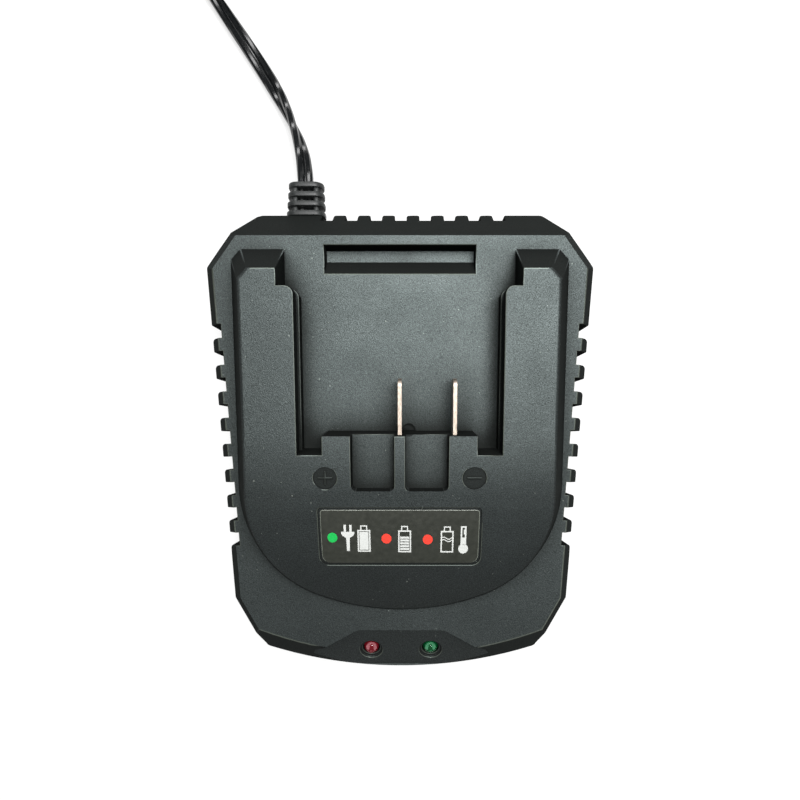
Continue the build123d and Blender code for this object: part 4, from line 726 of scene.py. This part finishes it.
# along, width and height in mm, from the neck to the face of the plug
PLUG_SECTIONS = (
    (0.0, 8.4, 6.9), (0.5, 9.6, 8.1), (1.6, 10.0, 8.5), (4.6, 12.0, 9.9), (7.4, 16.2, 12.2),
    (8.9, 18.1, 12.9), (10.2, 18.9, 13.0), (10.7, 17.9, 12.2), (11.6, 18.3, 12.2), (12.1, 20.0, 13.0),
    (13.6, 20.6, 13.0), (14.1, 19.6, 12.2), (15.0, 20.0, 12.2), (15.5, 21.3, 13.0), (17.0, 21.8, 13.0),
    (17.5, 20.8, 12.2), (18.4, 21.2, 12.2), (18.9, 22.3, 13.0), (24.9, 23.9, 13.0), (25.6, 23.5, 12.6),
    (26.0, 22.5, 11.6),
)
plug_frame = frame_at(PLUG_PLACE, Vector((0, 0, 1)).cross(PLUG_AHEAD), (0, 0, 1))
plug_loops = []
for along, width, height in PLUG_SECTIONS:
    outline = round_rectangle(width, height, PLUG_CORNER, PLUG_CORNER_POINTS)
    plug_loops.append([plug_frame @ Vector((x, y, along)) * MM for x, y in outline])
plug_shape = bmesh.new()
skin_over(plug_shape, plug_loops)
plug = placed("plug_shell", plug_shape)
# moulded PVC: satin black, a little duller than the lead
plug_pvc = finish("plug_pvc", ("#0c0d0e", "#151718"), 0.5, 0.4, 0.3, IOR=1.52)
wear(plug, plug_pvc)
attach(plug, "root")
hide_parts("plug_body")
# rolled brass: yellow with fine drawing lines along the prongs
rolled_brass = finish("rolled_brass", ("#b89a55", "#cdb06a"), 0.3, 0.28, 0.2, (0.3, 0.3, 4), Metallic=1.0)
wear(nodes["plug_prongs"], rolled_brass)
# nylon: black with a dull gleam
tie_nylon = finish("tie_nylon", ("#101112", "#1b1d1e"), 0.8, 0.42, 0.3, IOR=1.53)
wear(nodes["cord_tie"], tie_nylon)


# ---------------------------------------------------------------- label
# Printed polyester film, set into the crown of the dock: a dark olive ground with the meaning of the
# lamps in coloured ink. The inks lie a hair above the film.
LABEL_EDGE = 0.18 * MM
INK_LIFT = 0.03 * MM
INK_SINK = 0.05 * MM
INK_STEP = 1.0 * MM  # the inks follow the film's bend in steps of this
LABEL_MIDDLE = -29.1  # mm, Y of the middle of the signs
INK_STRETCH = 1.05
INK_TURN = 0.005  # the signs run down by this much for each millimetre to the right
BATTERY_HALF = 1.95  # mm, to the outside of a battery sign's walls
BATTERY_LINE = 0.42  # mm
NECK_HALF = 1.05
NECK_HEIGHT = 1.35
NECK_LINE = 0.35
WAVE_HEIGHT = 0.32  # mm each way
WAVE_SHIFT = 0.6  # radians by which a wave starts late
DOT_RADIUS = 1.5  # mm

label = soft_edged("indicator_label", LABEL_EDGE, MM / 1000, lambda place: False)
# satin film: even dark olive with a low sheen; its cut edge is drawn paler only where it faces up, a painted
# highlight
label_film = finish("label_film", ("#272923", "#2d2f28"), 1.5, 0.45, 0.06, IOR=1.6)
film_rim_highlight = finish("film_rim_highlight", ("#70756a", "#8a8f84"), 1.5, 0.5, 0.1, IOR=1.6)
wear(label, label_film, film_rim_highlight)
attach(label, "root")
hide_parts("indicator_label")
film_skin = BVHTree.FromPolygons([vert.co for vert in label.data.vertices],
                                 [face.vertices[:] for face in label.data.polygons])


def disc(x, y, radius, count=28):
    """Round outline."""
    angles = [math.tau * index / count for index in range(count)]
    return [(x + radius * math.cos(angle), y + radius * math.sin(angle)) for angle in angles]


def bar(left, low, right, high):
    """Upright rectangle."""
    return [(left, low), (right, low), (right, high), (left, high)]


def frame_bars(left, low, right, high, line):
    """Four bars around a rectangle."""
    return [bar(left, low, right, low + line), bar(left, high - line, right, high),
            bar(left, low + line, left + line, high - line),
            bar(right - line, low + line, right, high - line)]


def battery(x, high, low):
    """Outline of a battery with its neck, between two heights."""
    neck = high - NECK_HEIGHT
    inner = NECK_HALF - NECK_LINE
    return [bar(x - NECK_HALF, neck, x - inner, high), bar(x + inner, neck, x + NECK_HALF, high),
            bar(x - inner, high - NECK_LINE, x + inner, high),
            *frame_bars(x - BATTERY_HALF, low, x + BATTERY_HALF, neck, BATTERY_LINE)]


def wave(x, y, half, line):
    """Wavy bar across a battery."""
    count = 12
    top = []
    for index in range(count + 1):
        lift = WAVE_HEIGHT * math.sin(math.tau * index / count + WAVE_SHIFT)
        top.append((x - half + 2 * half * index / count, y + lift))
    return [(px, py - line / 2) for px, py in top] + [(px, py + line / 2) for px, py in reversed(top)]


def printed(name, outlines, material):
    """Thin ink solids on the film, one for each outline in millimetres from the label's middle."""
    ink = bmesh.new()
    for outline in outlines:
        corners = []
        for x, y in outline:
            turned = y * INK_STRETCH - x * INK_TURN + LABEL_MIDDLE
            corners.append(ink.verts.new((x * MM, turned * MM, 0)))
        ink.faces.new(corners)
    low = min(vert.co.y for vert in ink.verts)
    high = max(vert.co.y for vert in ink.verts)
    cut = low + INK_STEP
    while cut < high:
        everything = ink.verts[:] + ink.edges[:] + ink.faces[:]
        bmesh.ops.bisect_plane(ink, geom=everything, plane_co=(0, cut, 0), plane_no=(0, 1, 0))
        cut += INK_STEP
    bmesh.ops.triangulate(ink, faces=[face for face in ink.faces if len(face.verts) > 4])
    raised = bmesh.ops.extrude_face_region(ink, geom=ink.faces[:])["geom"]
    tops = {item for item in raised if isinstance(item, bmesh.types.BMVert)}
    for vert in ink.verts:
        over = Vector((vert.co.x, vert.co.y, 1))
        place = film_skin.ray_cast(over, Vector((0, 0, -1)))[0]
        vert.co.z = place.z + (INK_LIFT if vert in tops else -INK_SINK)
    piece = placed(name, ink, smooth=False)
    wear(piece, material)
    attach(piece, "root")


charged = battery(-10.9, 4.1, -4.0)
charging = battery(1.4, 4.0, -4.1)
too_warm = battery(14.25, 3.9, -4.1)
# corners of the signs in mm from the label's middle
white_signs = [
    # plug
    bar(-16.95, 2.1, -16.25, 4.25), bar(-15.25, 2.1, -14.55, 4.25),
    [(-17.75, 2.15), (-17.75, 1.6), (-17.3, 0.9), (-16.3, 0.25), (-16.2, -3.75), (-15.3, -3.75),
     (-15.2, 0.25), (-14.2, 0.9), (-13.75, 1.6), (-13.75, 2.15)][::-1],
    *charged, bar(-12.25, -3.35, -9.55, 2.15),
    *charging, *[bar(0.05, -3.4 + 0.88 * row, 2.75, -2.75 + 0.88 * row) for row in range(5)],
    *too_warm, wave(14.25, 0.35, 1.55, 0.3), wave(14.25, -0.4, 1.55, 0.3),
    # thermometer
    disc(19.2, -2.9, 1.5), bar(18.35, -1.9, 20.05, 0.2), *frame_bars(18.35, 0.1, 20.05, 4.0, 0.45),
    bar(19.25, 1.5, 19.7, 3.0),
]
# screen inks: flat opaque colours with the film's satin
white_ink = finish("white_ink", ("#c4c6c2", "#cfd1cd"), 0.5, 0.5, 0.05, IOR=1.5)
green_ink = finish("green_ink", ("#12a848", "#18b552"), 0.5, 0.5, 0.05, IOR=1.5)
red_ink = finish("red_ink", ("#e23a2c", "#ec4434"), 0.5, 0.5, 0.05, IOR=1.5)
printed("label_signs", white_signs, white_ink)
printed("label_green_dot", [disc(-20.45, 0.35, DOT_RADIUS)], green_ink)
printed("label_red_dots", [disc(-4.1, 0.1, DOT_RADIUS), disc(8.4, -0.1, DOT_RADIUS)], red_ink)


# ---------------------------------------------------------------- contact blades
# Stamped from copper strip that was tinned before: the flat sides are tin, and the cut edges show the
# copper under it.
DRAWING_LINE = 0.35  # mm between the drawing lines, which run along Y
tinned_copper, tree, output = blank("tinned_copper")
place = add(tree, "ShaderNodeTexCoord").outputs["Object"]
place = add(tree, "ShaderNodeMapping", values={"Scale": (1, 0.25, 1)}, links={"Vector": place}).outputs[0]
lines = add(tree, "ShaderNodeTexNoise", values={"Scale": 1 / (DRAWING_LINE * MM), "Detail": 3.0},
            links={"Vector": place}).outputs["Fac"]
tone = add(tree, "ShaderNodeMapRange", values=NOISE_SPAN, links={"Value": lines}).outputs[0]
facing = add(tree, "ShaderNodeNewGeometry").outputs["Normal"]
sideways = add(tree, "ShaderNodeSeparateXYZ", links={"Vector": facing}).outputs["X"]
sideways = add(tree, "ShaderNodeMath", {"operation": "ABSOLUTE"}, links={0: sideways}).outputs[0]
on_side = add(tree, "ShaderNodeMapRange", values={"From Min": 0.4, "From Max": 0.8},
              links={"Value": sideways})
tin = add(tree, "ShaderNodeMix", {"data_type": "RGBA"}, {"A": linear("#8a877f"), "B": linear("#d2cdc4")},
          {"Factor": tone}).outputs["Result"]
copper = add(tree, "ShaderNodeMix", {"data_type": "RGBA"}, {"A": linear("#82776c"), "B": linear("#b8aca0")},
             {"Factor": tone}).outputs["Result"]
colour = add(tree, "ShaderNodeMix", {"data_type": "RGBA"}, links={
    "Factor": on_side.outputs[0], "A": copper, "B": tin}).outputs["Result"]
rough = add(tree, "ShaderNodeMapRange", values={**NOISE_SPAN, "To Min": 0.42, "To Max": 0.55},
            links={"Value": lines}).outputs[0]
metal = add(tree, "ShaderNodeBsdfPrincipled", values={"Metallic": 1.0}, links={
    "Base Color": colour, "Roughness": rough})
tree.links.new(metal.outputs[0], output.inputs["Surface"])
for node in ("contact_blade_center", "contact_blade_right"):
    wear(nodes[node], tinned_copper)


# ---------------------------------------------------------------- indicator lamps
# 5 mm lamps cast in coloured clear epoxy. Through the dome show the stamped post with its pale
# reflector cup and, in front of it, the wedge of the second leg.
LAMP_TILT = math.radians(28)
LAMP_TIP = (9.8, -68.87, 18.55)  # mm, of the right-hand lamp
LAMP_RADIUS = 2.5
LAMP_FLANGE = 2.9
LAMP_LENGTH = 9.8  # from the tip to the underside of the flange
FLANGE_THICKNESS = 1.0
LENS_CLOSING = 0.35  # radius of the flat that closes the lens underneath
LENS_SIDES = 32
CUP_SIDES = 24
DOME_POINTS = 10
DOME_STEP = 9.6  # degrees, so that a small flat closes the tip
CUP_DEPTH = 1.6  # mm under the tip
CUP_RADIUS = 1.75
# radius and depth in mm, from the cup's underside over its rim to its hollow
CUP_PROFILE = ((0.5, CUP_DEPTH + 0.5), (CUP_RADIUS, CUP_DEPTH + 0.5), (CUP_RADIUS, CUP_DEPTH),
               (CUP_RADIUS - 0.2, CUP_DEPTH), (0.6, CUP_DEPTH + 0.35), (0.3, CUP_DEPTH + 0.36))
WEDGE = ((-0.95, -1.5), (0.95, -1.5), (0.3, 1.1), (-0.3, 1.1))  # outline in mm
WEDGE_DEPTHS = (CUP_DEPTH - 0.1, CUP_DEPTH + 0.3)
DYE_CLOUD = 2.5  # mm across each patch of slightly other dye


def lens_epoxy(name, colours):
    """Dyed epoxy, glossy and half clear, whose dye is a little uneven."""
    material, tree, output = blank(name)
    place = add(tree, "ShaderNodeTexCoord").outputs["Object"]
    cloud = add(tree, "ShaderNodeTexNoise", values={"Scale": 1 / (DYE_CLOUD * MM)},
                links={"Vector": place}).outputs["Fac"]
    tone = add(tree, "ShaderNodeMapRange", values=NOISE_SPAN, links={"Value": cloud}).outputs[0]
    dye = add(tree, "ShaderNodeMix", {"data_type": "RGBA"}, {
        "A": linear(colours[0]), "B": linear(colours[1])}, {"Factor": tone}).outputs["Result"]
    rough = add(tree, "ShaderNodeMapRange", values={**NOISE_SPAN, "To Min": 0.03, "To Max": 0.06},
                links={"Value": cloud}).outputs[0]
    surface = add(tree, "ShaderNodeBsdfPrincipled", values={"IOR": 1.54, "Alpha": 0.45},
                  links={"Base Color": dye, "Roughness": rough})
    tree.links.new(surface.outputs[0], output.inputs["Surface"])
    return material


# silvered reflector cups, which take the dye of their lens: pale rose and pale green
rose_cup = finish("rose_cup", ("#c08a92", "#e0b4b8"), 0.3, 0.4, 0.1, IOR=1.5)
mint_cup = finish("mint_cup", ("#4fae7c", "#8fd6ac"), 0.3, 0.4, 0.1, IOR=1.5)
# lead frame, dulled by the cast around it
frame_steel = finish("frame_steel", ("#141010", "#221c1c"), 0.3, 0.45, 0.1, IOR=1.5)
# node, side, dyes and cup of each lamp
LAMP_DYES = (("led_red", -1, ("#7a0f1c", "#93202c"), rose_cup),
             ("led_green", 1, ("#07502a", "#0d6636"), mint_cup))
for node, side, dye, cup_colour in LAMP_DYES:
    tip = (side * LAMP_TIP[0], LAMP_TIP[1], LAMP_TIP[2])
    lamp_frame = frame_at(tip, (1, 0, 0), (0, math.cos(LAMP_TILT), math.sin(LAMP_TILT)))
    flange_top = LAMP_LENGTH - FLANGE_THICKNESS
    profile = [(LENS_CLOSING, LAMP_LENGTH), (LAMP_FLANGE, LAMP_LENGTH), (LAMP_FLANGE, flange_top),
               (LAMP_RADIUS, flange_top)]
    for index in range(DOME_POINTS):
        angle = math.radians(index * DOME_STEP)
        profile.append((LAMP_RADIUS * math.cos(angle), LAMP_RADIUS * (1 - math.sin(angle))))
    lens = bmesh.new()
    skin_over(lens, [[lamp_frame @ Vector((x, y, -depth)) * MM for x, y in disc(0, 0, radius, LENS_SIDES)]
                     for radius, depth in profile])
    lens = placed(node + "_lens", lens)
    wear(lens, lens_epoxy(node + "_epoxy", dye))
    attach(lens, "root")
    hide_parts(node)
    cup = bmesh.new()
    skin_over(cup, [[lamp_frame @ Vector((x, y, -depth)) * MM for x, y in disc(0, 0, radius, CUP_SIDES)]
                    for radius, depth in CUP_PROFILE])
    cup = placed(node + "_cup", cup)
    wear(cup, cup_colour)
    wedge = bmesh.new()
    skin_over(wedge, [[lamp_frame @ Vector((x, y, -depth)) * MM for x, y in WEDGE] for depth in WEDGE_DEPTHS])
    wedge = placed(node + "_wedge", wedge, smooth=False)
    wear(wedge, frame_steel)
    for piece in (cup, wedge):
        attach(piece, "root")


# ---------------------------------------------------------------- fixings and feet
# Steel screws for the housing, the board and the terminals, the nylon block that holds the blades'
# tails, and four rubber feet under the tray.
# zinc-plated steel: bluish grey, softly bright
zinc_steel = finish("zinc_steel", ("#8f969c", "#aab0b5"), 0.6, 0.34, 0.15, Metallic=1.0)
for node in ("housing_screws", "board_screws", "terminal_screw"):
    wear(nodes[node], zinc_steel)
# moulded rubber: dull black with a fine roughness
foot_rubber = finish("foot_rubber", ("#121212", "#1c1c1b"), 0.4, 0.78, 0.5, IOR=1.52)
wear(nodes["rubber_feet"], foot_rubber)
# glass-filled nylon: dull dark grey
terminal_nylon = finish("terminal_nylon", ("#232527", "#323437"), 0.5, 0.55, 0.4, IOR=1.53)
wear(nodes["terminal_block"], terminal_nylon)


# ---------------------------------------------------------------- circuit board and its parts
# One board with the parts of a small mains supply, soldered in a wave. Each material is that of the
# part's case.
# glass-epoxy laminate under green solder resist: glossy, with the cloth showing faintly
board_laminate = finish("board_laminate", ("#143a22", "#1f4d2f"), 0.8, 0.3, 0.3, (1, 1, 0.2), IOR=1.55)
# transfer-moulded epoxy of the chips and power devices: dull black
device_epoxy = finish("device_epoxy", ("#161617", "#222223"), 0.3, 0.5, 0.4, IOR=1.55)
# sintered ferrite: dark grey, matt, slightly speckled
ferrite = finish("ferrite", ("#2c2d2f", "#3d3e41"), 0.35, 0.6, 0.5, IOR=2.0)
# extruded aluminium: pale with drawing lines along the profile
drawn_aluminium = finish("drawn_aluminium", ("#9ea2a6", "#c2c5c8"), 0.3, 0.36, 0.25, (4, 0.3, 4),
                         Metallic=1.0)
# shrink sleeve of the electrolytic capacitors: satin blue-black
can_sleeve = finish("can_sleeve", ("#171d33", "#222a45"), 1.2, 0.33, 0.15, IOR=1.54)
# film capacitor's case: glossy yellow plastic
capacitor_case = finish("capacitor_case", ("#b98f1c", "#cfa42c"), 1.0, 0.35, 0.2, IOR=1.5)
# varistor: dipped blue epoxy, uneven as dipped coats are
varistor_dip = finish("varistor_dip", ("#1b4a86", "#285c9c"), 1.6, 0.4, 0.6, IOR=1.55)
# fuse: clear glass tube
fuse_glass = finish("fuse_glass", ("#dfe6e6", "#eef3f3"), 2.0, 0.06, 0.02, IOR=1.5, Transmission_Weight=0.85)
# shunt: fired white ceramic
shunt_ceramic = finish("shunt_ceramic", ("#c9c5ba", "#dad6cb"), 0.5, 0.6, 0.4, IOR=1.6)
# bobbin: brown phenolic
bobbin_phenolic = finish("bobbin_phenolic", ("#2c1d14", "#3a281c"), 0.6, 0.45, 0.3, IOR=1.6)
# enamelled copper wire, wound close: reddish bands around the bobbin
wound_copper = finish("wound_copper", ("#7a3a1a", "#b4642e"), 0.45, 0.3, 0.6, (0.15, 0.15, 1), Metallic=0.8)
# tinned wire of the legs: pale grey
tinned_wire = finish("tinned_wire", ("#a6a8a8", "#c4c6c5"), 0.4, 0.3, 0.1, Metallic=1.0)
# PVC insulation of the leads: satin
lead_black = finish("lead_black", ("#131416", "#1d1f21"), 0.8, 0.4, 0.2, IOR=1.54)
lead_red = finish("lead_red", ("#8e1a18", "#a52220"), 0.8, 0.4, 0.2, IOR=1.54)
BOARD_PARTS = (
    ("circuit_board", board_laminate), ("fuse", fuse_glass), ("varistor", varistor_dip),
    ("x_capacitor", capacitor_case), ("line_choke", ferrite), ("bridge_rectifier", device_epoxy),
    ("bulk_capacitor", can_sleeve), ("switching_transistor", device_epoxy),
    ("switch_heat_sink", drawn_aluminium), ("transformer_core", ferrite),
    ("transformer_bobbin", bobbin_phenolic), ("transformer_winding", wound_copper),
    ("output_diode", device_epoxy), ("output_heat_sink", drawn_aluminium),
    ("output_capacitors", can_sleeve), ("current_shunt", shunt_ceramic),
    ("optocoupler", device_epoxy), ("control_chips", device_epoxy), ("led_legs", tinned_wire),
    ("supply_leads", lead_black), ("output_leads", lead_red),
)
for node, material in BOARD_PARTS:
    wear(nodes[node], material)
